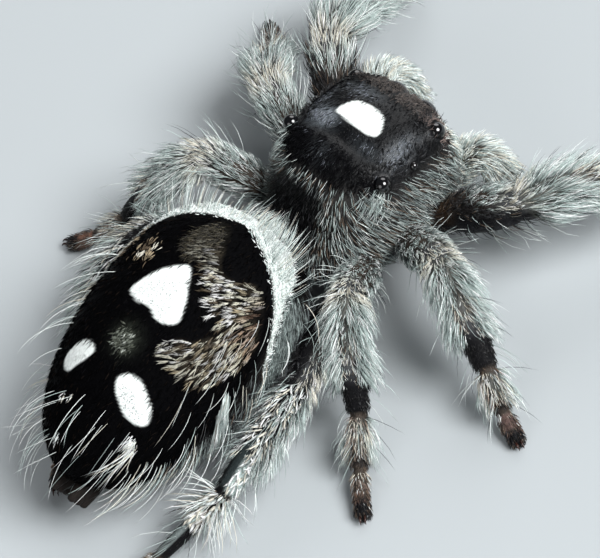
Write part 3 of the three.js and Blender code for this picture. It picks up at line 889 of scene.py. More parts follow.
bellyMiddle = {"across": 0.17, "drift": 0.06}  # the pattern's midline drifts right toward the front
bellyMarks = {
    "triangle": [(2.16, 0.07), (2.28, 0.43), (1.67, 0.87), (1.09, 1.2), (0.61, 1.27), (0.35, 0.73),
                 (0.55, 0.2), (0.48, -0.31), (0.63, -0.8), (0.96, -0.78), (1.62, -0.45)],
    "leftSpot": [(-1.41, -1.16), (-1.38, -0.73), (-1.56, -0.51), (-1.84, -0.62), (-2.18, -0.86),
                 (-2.46, -1.06), (-2.46, -1.4), (-2.18, -1.65), (-1.78, -1.54)],
    "rightSpot": [(-1.76, 0.75), (-1.47, 0.99), (-1.43, 1.47), (-1.65, 1.9), (-1.9, 2.27),
                  (-2.3, 2.41), (-2.52, 2.12), (-2.54, 1.6), (-2.32, 1.2), (-2.1, 0.9)],
    # the olive patch at the front, its colour partly painted sheen of the velvet
    "olive": [(2.92, -0.5), (3.3, -0.5), (3.87, -0.32), (4.16, -0.1), (4.0, 0.4), (3.5, 0.66), (2.97, 0.51),
              (2.55, 0.31), (2.51, -0.05)],
}
mirroredMarks = {  # given as they lie on the right
    "band": [(4.83, -0.4), (4.83, 0.4), (4.78, 1.3), (4.6, 2.2), (4.3, 2.85), (3.95, 3.3), (3.6, 3.5),
             (3.2, 3.75), (2.6, 4.15), (2.03, 4.6), (1.52, 5.0), (1.05, 5.6), (1.12, 5.25), (1.42, 4.84),
             (1.83, 4.48), (2.3, 4.06), (2.7, 3.7), (3.05, 3.3), (3.45, 2.78), (3.78, 2.28), (4.06, 1.7),
             (4.26, 1.2), (4.44, 0.7), (4.52, 0.2), (4.52, -0.4)],
    "oval": [(3.7, 0.87), (3.96, 1.0), (3.92, 1.4), (3.68, 1.92), (3.31, 2.23), (2.98, 2.04), (2.82, 1.67),
             (2.84, 1.24), (3.33, 0.93)],
    "field": [(2.85, 0.46), (3.22, 0.52), (3.49, 0.71), (3.04, 1.04), (2.82, 1.43), (2.83, 1.93),
              (3.11, 2.35), (2.94, 2.86), (2.35, 3.47), (1.67, 3.97), (1.04, 4.02), (0.25, 3.72),
              (-0.3, 3.2), (-0.5, 2.6), (-0.4, 1.94), (-0.06, 1.49), (0.32, 1.68), (0.55, 2.14),
              (1.08, 2.42), (1.49, 2.52), (1.68, 1.87), (2.17, 1.3)],
    "dash": [(0.16, 4.08), (0.1, 4.36), (-0.3, 4.64), (-0.7, 4.9), (-0.72, 4.66), (-0.3, 4.32)],
}
markOutlines = {name: outlineOf(points) for name, points in {**bellyMarks, **mirroredMarks}.items()}
whiteMarks = ("leftSpot", "rightSpot", "triangle")


def bellySides(u, v):  # along the back, across it, and across as on the right side
    along, across = bellyMap(u, v)
    middle = bellyMiddle["across"] + bellyMiddle["drift"] * np.maximum(along, 0)
    return along, across, middle + np.abs(across - middle)


def bellyDepth(u, v, *names):  # how deep inside the nearest of the named outlines
    along, across, folded = bellySides(u, v)
    return np.max([depthIn(along, folded if name in mirroredMarks else across, markOutlines[name])
                   for name in names], axis=0)


def bellyAreas(u, v):  # how far each soft area of the abdomen's colours holds
    along, across, folded = bellySides(u, v)
    beyond = folded + 0.75 * along - 6.15
    field = smooth(-0.1, 0.16, bellyDepth(u, v, "field")) * smooth(0.02, -0.06, bellyDepth(u, v, "oval"))
    return {
        "under": smooth(4.6, 5.8, folded + 0.25 * np.maximum(along, 0)),
        # grey haze in a strip beside the band; below it the flank stays black, painted shade of the lower
        # flank
        "flank": within(beyond, -0.05, 0.1, 0.3, 1.6) * within(along, 0.3, 1.2, 2.8, 4.0),
        "smudge": hump(along, -0.66, 0.4) * hump(across, 0.22, 0.42),
        "field": field * (across > bellyMiddle["across"]),
        "olive": smooth(-0.1, 0.15, bellyDepth(u, v, "olive")),
    }


def bellyTint(u, v):
    along, across, folded = bellySides(u, v)
    areas = bellyAreas(u, v)
    return layered(srgb(5, 5, 6), len(u), [
        (srgb(40, 38, 36), areas["under"]),
        (srgb(72, 80, 79), areas["flank"]),
        (srgb(46, 42, 35), areas["field"] * mottle(along, folded)),
        # the olive patch, partly painted sheen
        (srgb(22, 21, 18), areas["olive"]),
        (srgb(58, 62, 55), areas["smudge"] * (0.4 + 0.6 * mottle(along * 2.2, across * 2.2))),
        (srgb(190, 198, 194), smooth(-0.02, 0.12, bellyDepth(u, v, "band"))),
        (patchWhite, smooth(-0.04, 0.04, bellyDepth(u, v, *whiteMarks))),
    ])


def buildAbdomen(materials):
    skins = Skins()
    skins.add(belly, abdomen["rows"], abdomen["columns"], bellyTint)
    made = skins.build("abdomen_skin", materials["velvetSkin"], "abdomen_coat")
    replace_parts(made, "abdomen")


palpShape = {
    "right": [(1.55, 2.6, 1.3), (2.35, 3.45, 2.25), (2.95, 3.65, 1.6), (2.85, 3.55, 0.75)],
    "left": [(-1.55, 2.6, 1.3), (-2.4, 3.7, 2.2), (-2.4, 4.3, 1.6), (-2.1, 4.5, 0.75)],
    "radii": [(0, 0.34), (0.4, 0.42), (0.8, 0.42), (1, 0.34)],
    "less": 0.04,
    "soften": 0.1,
    "grid": (60, 24),
}
plainParts = {  # path, radii, rows and columns, colour
    "plate": ([(0.5, 1.6, 1.15), (0.55, 2.45, 1.05)], [(0, 0.3), (0.6, 0.38), (1, 0.3)], (22, 20),
              srgb(58, 38, 30)),
    "lip": ([(0, 1.3, 1.08), (0, 2.0, 1.02)], [(0, 0.3), (1, 0.26)], (20, 20), srgb(40, 28, 24)),
    "breast": ([(0, 0.95, 1.05), (0, -1.2, 1.05)], [(0, 0.45), (0.4, 0.62), (1, 0.4)], (36, 32),
               srgb(32, 25, 22)),
    "stalk": ([(0, -2.6, 2.0), (0.05, -5.2, 2.5)], [(0, 0.38), (1, 0.38)], (30, 20), black),
}
palps, limbs = {}, []


def addPart(skins, name, side="right"):
    path, radii, size, colour = plainParts[name]
    skins.add(simpleTube([mirror(point, side) for point in path], radii), *size, colour)


legRoot = {  # the short thick root under the chest, from the middle outward
    "outward": (0.42, 0.98),
    "backward": (0.75, 0.1),
    "low": 1.3,
    "drop": 0.1,
    "radii": [(0, 0.44), (0.5, 0.56), (1, 0.42)],
    "grid": (26, 24),
    "colour": srgb(44, 32, 26),
}
spinneret = {  # three on each side, at the end of the abdomen
    "height": -0.75,
    "beside": 0.3,
    "inside": 0.7,
    "apart": 0.34,
    "lean": 0.1,
    "length": 1.0,
    "shorter": 0.12,  # each one, than the one above it
    "radii": [(0, 0.25), (0.7, 0.2), (1, 0.15)],
    "grid": (24, 18),
    "colour": srgb(34, 30, 28),
}


def addLegRoot(skins, hip):
    x, y, z = hip
    inner, outer = legRoot["outward"]
    share, shift = legRoot["backward"]
    path = [(x * inner, y * share - shift, legRoot["low"]), (x * outer, y, z - legRoot["drop"])]
    skins.add(simpleTube(path, legRoot["radii"]), *legRoot["grid"], legRoot["colour"])


def addSpinneret(skins, turn, row):
    shape = spinneret
    end = abdomenLocal(np.array([0, -abdomen["length"] / 2, shape["height"]]))
    root = end + np.array([turn * shape["beside"], shape["inside"], (row - 1) * -shape["apart"]])
    length = shape["length"] + shape["shorter"] * (1 - row)
    tip = root + np.array([turn * shape["lean"], -length, -shape["lean"]])
    skins.add(simpleTube([root, tip], shape["radii"]), *shape["grid"], shape["colour"])


def buildSkin(materials):
    skins = Skins()
    for number in legs:
        for side in sideNames:
            leg = Leg(number, side)
            limbs.append(leg)
            skins.add(leg, legShape["rows"], legShape["columns"],
                      lambda u, v, leg=leg: legColour(leg, u, v, "skin"))
            addLegRoot(skins, legs[number][side][0])
    for side in sideNames:
        palps[side] = simpleTube(palpShape[side], palpShape["radii"], palpShape["less"], palpShape["soften"])
        skins.add(palps[side], *palpShape["grid"], lambda u, v: blend(soot, brown, smooth(0.3, 0.9, u)))
        addPart(skins, "plate", side)
    for name in ("lip", "breast", "stalk"):
        addPart(skins, name)
    for turn in (-1, 1):
        for row in range(3):
            addSpinneret(skins, turn, row)
    made = skins.build("skin", materials["skin"], "leg_coat")
    for number in legs:
        for side in sideNames:
            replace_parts(made, *[f"leg_{number}_{side}_{part}" for part in ("femur", "tibia", "foot")])
    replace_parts(made, "palp_right", "palp_left", "pedicel", "spinnerets")


jaws = {
    "jaw": [(0.8, 2.95, 2.2), (0.83, 3.2, 1.6), (0.74, 3.25, 0.95)],
    "jawRadii": [(0, 0.6), (0.4, 0.66), (0.75, 0.6), (1, 0.44)],
    "jawGrid": (60, 48),
    "soften": 0.3,
    "fang": [(0.62, 3.2, 0.62), (0.5, 3.12, 0.42), (0.34, 2.9, 0.36), (0.2, 2.68, 0.42)],
    "fangRadii": [(0, 0.24), (0.5, 0.16), (1, 0.05)],
    "fangGrid": (40, 20),
}


def buildJaws(materials):
    for side in sideNames:
        jaw, fang = [[mirror(point, side) for point in jaws[part]] for part in ("jaw", "fang")]
        skins = Skins()
        skins.add(simpleTube(jaw, jaws["jawRadii"], soften=jaws["soften"]), *jaws["jawGrid"], white)
        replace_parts(skins.build(f"jaw_{side}", materials["jaw"], "jaw"), f"chelicera_{side}")
        skins = Skins()
        skins.add(simpleTube(fang, jaws["fangRadii"]), *jaws["fangGrid"], white)
        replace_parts(skins.build(f"fang_{side}_horn", materials["claw"], "claw"), f"fang_{side}")


footClaw = {
    "ahead": 0.14,  # the root, from the middle of the foot's end
    "beside": 0.08,
    "rise": 0.02,
    "bend": (0.22, 0.04),  # ahead and up from the root
    "tip": (0.1, 0.12),  # ahead and down from the bend
    "radii": [(0, 0.045), (0.6, 0.032), (1, 0.01)],
    "grid": (18, 10),
}


def buildClaws(materials):  # two small hooks at the end of each foot
    skins = Skins()
    for leg in limbs:
        centre, aim, across, _ = [part[0] for part in leg.read(np.array([leg.reach[-1]]))]
        ahead = unit(aim * [1, 1, 0])
        for turn in (-1, 1):
            root = centre + ahead * footClaw["ahead"] + across * footClaw["beside"] * turn
            root = root + [0, 0, footClaw["rise"]]
            bend = root + ahead * footClaw["bend"][0] + [0, 0, footClaw["bend"][1]]
            tip = bend + ahead * footClaw["tip"][0] - [0, 0, footClaw["tip"][1]]
            skins.add(simpleTube([root, bend, tip], footClaw["radii"]), *footClaw["grid"], white)
    skins.build("foot_claws", materials["claw"], "claw")


legCoat = {
    "fur": dict(many=5000, width=(0.018, 0.032), shade=0.7, sway=0.34, clump=(34, 9), pull=0.42),
    "bristles": dict(many=170, colours=[(3, paleGrey), (2, white), (1, darkGrey)], length=(1.0, 1.6),
                     width=0.022, lift=((48, 66), 22), shade=0.6, sway=0.45),
    "sole": dict(many=180, colours=[(3, black), (1, soot)], length=(0.16, 0.3), width=0.035,
                 lift=(40, 15), sway=0.2),
    # the hind legs' cream scales, and the burst of long hair at their ankles
    "scale": dict(colours=[(3, cream), (6, white), (1, paleGrey)], jitter=0.1, shade=0.65, sway=0.6,
                  thin=0.3, profile=(0.7, 1.0, 0.9)),
    "shin": dict(many=2400, apart=(0.17, 0.065), length=(0.34, 0.62), width=(0.06, 0.095),
                 lift=((20, 42), 4)),
    "ankle": dict(many=1400, apart=(0.13, 0.065), length=(0.34, 0.6), width=(0.12, 0.18),
                  lift=((12, 34), 4)),
    "burst": dict(many=90, colours=[(5, white), (1, cream), (1, paleGrey)], jitter=0.08, capped=True,
                  length=(1.0, 1.75), width=0.032, lift=((50, 88), 40), shade=0.8, sway=0.55,
                  clump=(60, 12), pull=0.3),
}


def furLeg(leg, materials):
    coat = Coat()

    def density(u, v):
        stage = leg.stage(u)
        many = alongBands(stage, "many") * smooth(0.0, 0.25, stage)
        if leg.scaly:
            many = many * (1 - 0.6 * smooth(0.1, 0.5, heightAt(v)) * within(stage, 1.1, 1.3, 2.4, 2.5))
            many = many * (1 - 0.6 * within(stage, 2.97, 3.03, 4.0, 4.1))
        return many * (1 - 0.92 * lowSide(leg, u, v)) if leg.bare else many

    at = leg.sow(legCoat["fur"]["many"], density)
    stage, height = leg.stage(at.u), heightAt(at.v)
    beside = np.abs(np.cos(at.v * math.tau))
    fluffy = within(stage, 0.6, 1.0, 2.35, 2.5)
    line = smooth(0.95, 0.99, height) * within(stage, 1.15, 1.35, 1.9, 2.0)
    core = smooth(0.72, 0.93, height) * within(stage, 1.8, 2.0, 2.52, 2.6)
    shaft = within(stage, 3.35, 3.5, 4.0, 4.1) * leg.scaly
    ankle = within(stage, 2.95, 3.05, 3.6, 3.8) * (1 - shaft)
    length = alongBands(stage, "length") * (0.5 + 0.55 * beside) * (1 - 0.4 * line - 0.5 * core)
    length = length * (1 + ankle * (beside**3 - 0.12)) * (1 - 0.55 * shaft)
    length = length * (1 - 0.5 * shadedInnerSide(leg, at.u, at.v) * leg.scaly)
    length = length * (1 - 0.5 * within(stage, 2.1, 2.5, 2.55, 2.65) * smooth(0.0, 0.6, height))
    length = length * at.draw(0.6, 1.2) * (1.2 if leg.number == 1 else 1.0)
    colour = legColour(leg, at.u, at.v, "hair") * np.exp(rng.normal(0, 0.16, (at.count, 1)))

    def strew(colour, palette, jitter, share):  # gives that share of the hairs another colour
        return blend(colour, at.pick(palette, jitter), rng.random(at.count) < share)

    # black hair: a dark line along the top, a few strays, and on the hind legs painted shade over the top of
    # thigh and shin
    dark = 0.04 + 0.4 * line + 0.45 * leg.scaly * fluffy * smooth(0.0, 0.5, height)
    colour = strew(colour, [(1, black), (1, darkGrey)], 0.18, dark)
    middle = (1, darkGrey) if leg.scaly else (2, brown)
    colour = strew(colour, [(2, black), middle, (4, cream)], 0.15, 0.85 * core)
    mixed = [(4, cream), (2, brown), (2, footGrey), (2, darkGrey)]
    colour = strew(colour, mixed, 0.15, 0.8 * ankle * smooth(0.3, 0.7, height))
    colour = blend(colour, paleGrey, ankle * smooth(0.5, 0.2, height))
    # more dark hair off the top of the foot, partly painted shade on its sides
    foot = smooth(4.0, 4.1, stage) * (0.3 + 0.4 * smooth(0.9, 0.6, height))
    colour = strew(colour, [(1, soot), (2, brown)], 0.18, foot)
    colour = strew(colour, [(1, white)], 0.08, 0.3 * (colour.mean(1) > 0.15))
    if leg.bare:
        shaded = [(4, black), (2, soot), (1, brown), (1, darkGrey)]
        colour = strew(colour, shaded, 0.2, 0.9 * shadeSide(leg, at.u, at.v))
    lean = rng.uniform(-0.25, 0.25, (at.count, 1)) * (1 + core + ankle)[:, None]
    start = 34 + 22 * beside * np.clip(fluffy + 0.4 + ankle * 0.5, 0, 1) - 14 * core
    start = start + rng.normal(0, 6, at.count)
    coat.add(at, at.along - at.aside * lean, capped(colour), legCoat["fur"], length=length,
             lift=(start, 6 + 8 * fluffy))

    def standing(u, v):  # long fine bristles that stand out
        stage = leg.stage(u)
        overBand = within(stage, 2.2, 2.4, 2.92, 2.98) * smooth(0.2, 0.5, heightAt(v))
        return within(stage, 0.4, 0.8, 3.8, 4.0) * (1 - overBand)

    coat.grow(leg, legCoat["bristles"], standing)
    if leg.scaly:
        furScaly(leg, coat)

    def sole(u, v):  # dark brush under the foot
        stage = leg.stage(u)
        return smooth(4.65, 4.95, stage) + smooth(4.1, 4.4, stage) * (heightAt(v) < -0.3)

    coat.grow(leg, legCoat["sole"], sole)
    coat.build(f"coat_leg_{leg.number}_{leg.side}", materials["coat"], "leg_coat")


def furScaly(leg, coat):
    def shin(u, v):
        stage, height = leg.stage(u), heightAt(v)
        outer = np.cos(v * math.tau - (0.6 if leg.side == "right" else math.pi - 0.6))
        many = within(stage, 1.05, 1.25, 2.3, 2.5) * smooth(-0.1, 0.4, height)
        many = many + within(stage, 1.05, 1.25, 2.8, 2.9) * smooth(0.3, 0.8, outer)
        many = many * (1 - smooth(0.84, 0.93, height) * smooth(2.1, 2.25, stage))
        many = many * (1 - shadedInnerSide(leg, u, v))
        return many + hump(stage, 1.45, 0.12) * smooth(0.0, 0.4, height)

    def ankle(u, v):
        return within(leg.stage(u), 2.97, 3.03, 3.25, 3.45)

    for name, density in (("shin", shin), ("ankle", ankle)):
        group = {**legCoat["scale"], **legCoat[name]}
        at = leg.sow(group["many"], density)
        lie = unit(at.backward(0.25))
        kept = spreadOut(at, lie, group["apart"])
        at, lie = at.keep(kept), lie[kept]
        coat.add(at, lie, capped(at.pick(group["colours"], group["jitter"])), group)
    coat.grow(leg, legCoat["burst"], lambda u, v: within(leg.stage(u), 2.98, 3.05, 3.3, 3.42))


def headLie(x, y, z, jitter=0.18):  # the same way on both sides, x being outward
    def lie(at):
        ones = np.ones(at.count)
        ways = np.stack([np.sign(at.root[:, 0]) * x, ones * y, ones * z], -1)
        return ways + rng.normal(0, jitter, ways.shape)

    return lie


headCoat = {
    "grey": dict(many=8200, colours=[(4, midGrey), (4, paleGrey), (2, white), (1, darkGrey), (3, brown)],
                 jitter=0.2, width=(0.018, 0.03), lift=((18, 40), 10), shade=0.6, sway=0.35,
                 clump=(80, 60), pull=0.4),
    "dark": [(5, black), (2, soot), (1, darkGrey)],
    "patch": dict(many=1300, colours=[(3, srgb(122, 127, 138)), (2, srgb(98, 104, 108)), (1, darkGrey)],
                  jitter=0.1, length=(0.2, 0.36), width=(0.024, 0.036), lift=(14, 2), shade=0.8, thin=0.6),
    # white scales of the painted highlight between the eyes
    "spot": dict(many=1500, colours=[(1, patchWhite)], jitter=0.05, width=(0.05, 0.08), lift=(14, 4),
                 thin=0.35, profile=(0.6, 1.0, 0.8)),
    "eyeTuft": dict(many=150, colours=[(6, black), (2, soot), (1, darkGrey)], length=(0.15, 0.4),
                    width=0.03, lift=(50, 30), sway=0.3),
    "rearTuft": dict(many=180, colours=[(5, paleGrey), (3, white), (2, midGrey)], length=(0.3, 0.6),
                     width=0.024, lift=(36, 16), shade=0.75),
}


def furHead(materials):
    coat = Coat()
    # grey hair on the rear slope and the flanks, which turns from backward to outward and forward
    at, tone = coat.begin(shell, headCoat["grey"], headShare("grey"))
    # dark hair where the rear slope takes painted shade
    tone = blend(tone, at.pick(headCoat["dark"]), headMarks(at.root)["dark"])
    turn = smooth(0.5, 2.3, np.abs(at.root[:, 0]))
    low = smooth(2.6, 1.8, at.root[:, 2])
    coat.add(at, headLie(0.15 + 0.7 * turn, -0.9 + 1.3 * turn, -0.7)(at), tone, headCoat["grey"],
             length=at.draw(0.3, 0.5) * (1 + 0.6 * turn) * (1 - 0.2 * low))
    # pale scales in loose patches, partly painted sheen of the glossy top
    at, tone = coat.begin(shell, headCoat["patch"], headShare("patch", 1.3))
    tone = tone * (0.8 + 0.45 * np.clip(headMarks(at.root)["patch"], 0, 1.4))[:, None]
    coat.add(at, headLie(0.1, -1, 0)(at), tone, headCoat["patch"])
    # the white patch, scales that paint a highlight between the eyes
    at, tone = coat.begin(shell, headCoat["spot"],
                          lambda u, v: headMarks(carapacePlace(u, v))["spot"] > 0.05)
    length = np.clip(headMarks(at.root)["spot"], 0.08, 0.24) * at.draw(0.7, 1.0)
    coat.add(at, headLie(0.3, -1, 0)(at), tone, headCoat["spot"], length=length)
    for _, centre, radius in eyes[2:]:  # dark tufts about the side eyes
        def near(u, v, centre=centre, radius=radius):
            gap = np.linalg.norm(carapacePlace(u, v) - centre, axis=-1)
            return (gap > radius * 1.3) * smooth(radius + 0.5, radius + 0.15, gap)

        coat.grow(shell, headCoat["eyeTuft"], near,
                  lambda at, centre=centre: unit(at.root - centre) + [0, 0.3, 0])
    for x in sideNames.values():  # a pale tuft behind each rear eye
        def behind(u, v, x=x):
            return hump(np.linalg.norm(carapacePlace(u, v) - [x * 2.2, -0.34, 4.15], axis=-1), 0, 0.32)

        coat.grow(shell, headCoat["rearTuft"], behind, headLie(0.1, -1, -0.3))
    coat.build("coat_head", materials["coat"], "shell")


topCoat = dict(many=3000, colours=[(8, black), (1, soot)], length=(0.15, 0.34), width=0.026, lift=(26, 8))


def furTop(materials):  # short black hairs on the top of the head, closest on the rear dome
    coat = Coat()

    def domed(u, v):
        spots = carapacePlace(u, v)
        marks = headMarks(spots)
        free = (1 - marks["grey"]) * (1 - 0.85 * marks["patch"]) * (marks["spot"] < -0.04)
        return free * (0.15 + smooth(0.35, -0.1, spots[..., 1])) * smooth(3.9, 4.4, spots[..., 2])

    coat.grow(shell, topCoat, domed, headLie(0.2, -1, -0.2))
    coat.build("coat_head_top", materials["velvet"], "shell")


faceCoat = {
    "rim": dict(many=2600, colours=[(6, srgb(82, 76, 73)), (3, srgb(62, 57, 54)), (2, srgb(98, 89, 84))],
                clear=1.25, length=(0.14, 0.27), width=0.02, lift=(34, 12), shade=0.85, sway=0.3),
    # pinkish painted highlight on the right of the rim
    "rightRimHighlight": srgb(142, 124, 118),
    "middle": dict(many=170, colours=[(4, white), (3, cream), (2, paleGrey)], jitter=0.1,
                   place=(3.17, 2.96), reach=(0.3, 0.36), length=(0.2, 0.38), width=0.028, lift=(44, 18),
                   shade=0.7, sway=0.3),
    "cream": dict(many=3000, colours=[(5, white), (3, cream), (2, paleGrey)], jitter=0.1, clear=1.22,
                  width=0.03, lift=(44, 24), shade=0.75, sway=0.3, clump=(90, 30), pull=0.4),
}


def eyeGap(points):  # distance from the middle of the nearest front eye, in radii of that eye
    gaps = [np.linalg.norm(points - centre, axis=1) / radius for _, centre, radius in eyes[:4]]
    return np.min(gaps, axis=0)


def clearOfEyes(name, area):
    at = shell.sow(faceCoat[name]["many"], headShare(area))
    at = at.keep(eyeGap(at.root) > faceCoat[name]["clear"])
    return at, at.pick(faceCoat[name]["colours"], faceCoat[name].get("jitter", 0.18))


def furFace(materials):
    coat = Coat()
    # brownish rim hair along the front edge of the head
    at, tone = clearOfEyes("rim", "rim")
    # the rim's right side gets the painted highlight
    tone = blend(tone, faceCoat["rightRimHighlight"], 0.5 * smooth(0.9, 1.8, at.root[:, 0]))
    coat.add(at, headLie(0.3, 1.0, 0.1, 0.3)(at), tone, faceCoat["rim"])
    # pale hair on the flat middle above the jaws
    middle = faceCoat["middle"]
    count, (y, z), (wide, high) = middle["many"], middle["place"], middle["reach"]
    turn, reach = rng.uniform(0, math.tau, count), np.sqrt(rng.random(count))
    across, up = np.cos(turn), np.sin(turn)
    root = np.stack([wide * reach * across, np.full(count, y), z + high * reach * up], -1)
    lie = np.stack([0.5 * across, np.zeros(count), np.full(count, -1.0)], -1)
    at = Roots(0.004 * reach, turn / math.tau, root, np.tile([0.0, 1.0, 0.0], (count, 1)), lie)
    tone = at.pick(middle["colours"], middle["jitter"])
    coat.add(at, at.backward(0.2), tone, middle)
    # cream hair over the face, round the front eyes and above the jaws
    at, tone = clearOfEyes("cream", "face")
    above = smooth(3.3, 3.7, at.root[:, 2])
    length = at.draw(0.35, 0.75) * (0.35 + 0.65 * smooth(1.2, 2.2, eyeGap(at.root))) * (1 - 0.4 * above)
    coat.add(at, headLie(0.35, 0.2, -1.0 + 1.6 * above)(at), tone, faceCoat["cream"], length=length)
    coat.build("coat_face", materials["coat"], "palp_coat")


palpCoat = dict(many=2600, colours=[(5, white), (3, cream), (3, paleGrey), (1, midGrey)], jitter=0.12,
                length=(0.45, 0.9), width=(0.022, 0.034), lift=((34, 56), 14), shade=0.6, sway=0.35,
                clump=(18, 8), pull=0.4)


def furPalps(materials):
    for side, palp in palps.items():
        coat = Coat()
        coat.grow(palp, palpCoat)
        coat.build(f"coat_palp_{side}", materials["coat"], "palp_coat")


velvet = {
    "hair": dict(many=11200, colours=[(7, black * 0.4), (1, black), (1, srgb(26, 21, 18))], jitter=0.25,
                 width=(0.024, 0.038), lift=((20, 38), 8), shade=0.6, sway=0.2),
    "areas": [  # the soft areas' colours, how much they vary, and their share
        ("under", [(2, darkGrey), (1, midGrey), (1, soot)], 0.18, 1),
        ("flank", [(2, srgb(118, 129, 127)), (2, srgb(152, 163, 160)), (1, srgb(84, 93, 92))], 0.12, 1),
        ("olive", [(2, srgb(56, 54, 46)), (1, soot)], 0.18, 0.8),
        ("smudge", [(2, srgb(88, 93, 84)), (1, soot)], 0.18, 1),
    ],
}


def furVelvet(materials):  # short black velvet
    coat = Coat()
    at, tone = coat.begin(belly, velvet["hair"], lambda u, v: bellyDepth(u, v, *whiteMarks, "band") < -0.02)
    areas = bellyAreas(at.u, at.v)
    for area, palette, jitter, share in velvet["areas"]:
        tone = blend(tone, at.pick(palette, jitter), areas[area] * share)
    length = at.draw(0.18, 0.38) * (1 + 0.7 * areas["under"] + 0.25 * areas["flank"])
    coat.add(at, at.backward(), tone, velvet["hair"], length=length)
    coat.build("coat_abdomen_velvet", materials["velvet"], "abdomen_coat")


def spreadOut(at, lie, gaps):  # picks hairs that keep apart, more so along the hair than across
    sides = np.cross(lie, at.out)
    kept = []
    for k, place in enumerate(at.root):
        apart = at.root[kept] - place
        ratio = ((apart * lie[k]).sum(-1) / gaps[0]) ** 2 + ((apart * sides[k]).sum(-1) / gaps[1]) ** 2
        if not kept or ratio.min() > 1:
            kept.append(k)
    return np.array(kept)


scaleCoat = {
    "white": dict(many=2500, colours=[(1, patchWhite)], jitter=0.05, width=(0.06, 0.09), lift=(16, 4),
                  thin=0.3, profile=(0.6, 1.0, 0.85)),
    "band": dict(many=3900, length=(0.14, 0.3), width=(0.024, 0.04), lift=((30, 50), 24), shade=0.75,
                 sway=0.3),
    "field": dict(many=2600, apart=(0.22, 0.085), length=(0.28, 0.48), width=(0.025, 0.038),
                  lift=((16, 32), -6), shade=0.42, thin=0.6, sway=0.4, pull=0.3),
    "lock": {"hairs": 8, "scatter": (0.08, 0.022)},
    "golds": [(7, srgb(244, 241, 222)), (2, srgb(228, 228, 226)), (1, srgb(190, 177, 148)),
              (3, srgb(88, 77, 60))],
    "browns": [(2, srgb(168, 140, 116)), (2, srgb(88, 64, 52)), (1, srgb(206, 198, 172))],
    # dull flakes in the smudge behind the triangle, and dull hair in the olive patch at the front, its olive
    # partly painted sheen
    "smudge": dict(many=130, colours=[(2, srgb(112, 118, 108)), (3, srgb(82, 86, 76)),
                                      (1, srgb(168, 174, 166))],
                   length=(0.18, 0.33), width=(0.072, 0.108)),
    "olive": dict(many=420, colours=[(2, srgb(92, 86, 70)), (3, srgb(62, 58, 46)), (3, srgb(36, 34, 28))],
                  length=(0.252, 0.462), width=(0.024, 0.036)),
    "dull": dict(jitter=0.12, lift=(22, 2), shade=0.6, sway=0.5, thin=0.4),
    "leftTufts": dict(many=150, length=(0.25, 0.45), width=0.032, lift=(34, 0), shade=0.5, sway=0.5,
                      clump=(60, 40), pull=0.6),
    "leftBrowns": [(2, srgb(150, 136, 112)), (2, srgb(96, 82, 64)), (1, cream)],
    "tuft": dict(colours=[(4, white), (1, cream)], jitter=0.08, capped=True, width=0.03,
                 lift=((20, 44), 12), shade=0.8, sway=0.3),
    "tufts": [  # a white tuft low at the right behind the spots with long hairs over it, and three
        # at the left: along and across the back, how many, length, and how wide the tuft
        (-3.0, 2.3, 70, (0.21, 0.546), 0.13), (-3.1, 2.45, 14, (0.75, 1.95), 0.08),
        (-3.15, -0.75, 16, (0.13, 0.338), 0.08), (-2.99, -0.43, 12, (0.11, 0.286), 0.08),
        (-4.22, -0.39, 20, (0.15, 0.39), 0.08),
    ],
    "dash": dict(many=230, colours=[(3, white), (2, paleGrey)], jitter=0.1, length=(0.8, 1.6), width=0.03,
                 lift=(14, 6), shade=0.8, sway=0.1),
}


def furWhite(coat):  # the scales of the white patches, and the white band
    at, tone = coat.begin(belly, scaleCoat["white"], lambda u, v: bellyDepth(u, v, *whiteMarks) > 0.03)
    long = np.clip(bellyDepth(at.u, at.v, *whiteMarks) * 1.2, 0.09, 0.26)
    coat.add(at, at.backward(0.15), tone, scaleCoat["white"], length=long * at.draw(0.75, 1))
    at = belly.sow(scaleCoat["band"]["many"], lambda u, v: smooth(-0.04, 0.08, bellyDepth(u, v, "band")))
    side = np.sign(bellyMap(at.u, at.v)[1])[:, None]
    lie = -at.along * 0.4 - at.aside * side * 0.2 + rng.normal(0, 0.5, at.along.shape)
    tone = at.pick([(8, white), (2, paleGrey)], 0.06)
    coat.add(at, lie, tone, scaleCoat["band"], tip=capped(tone))


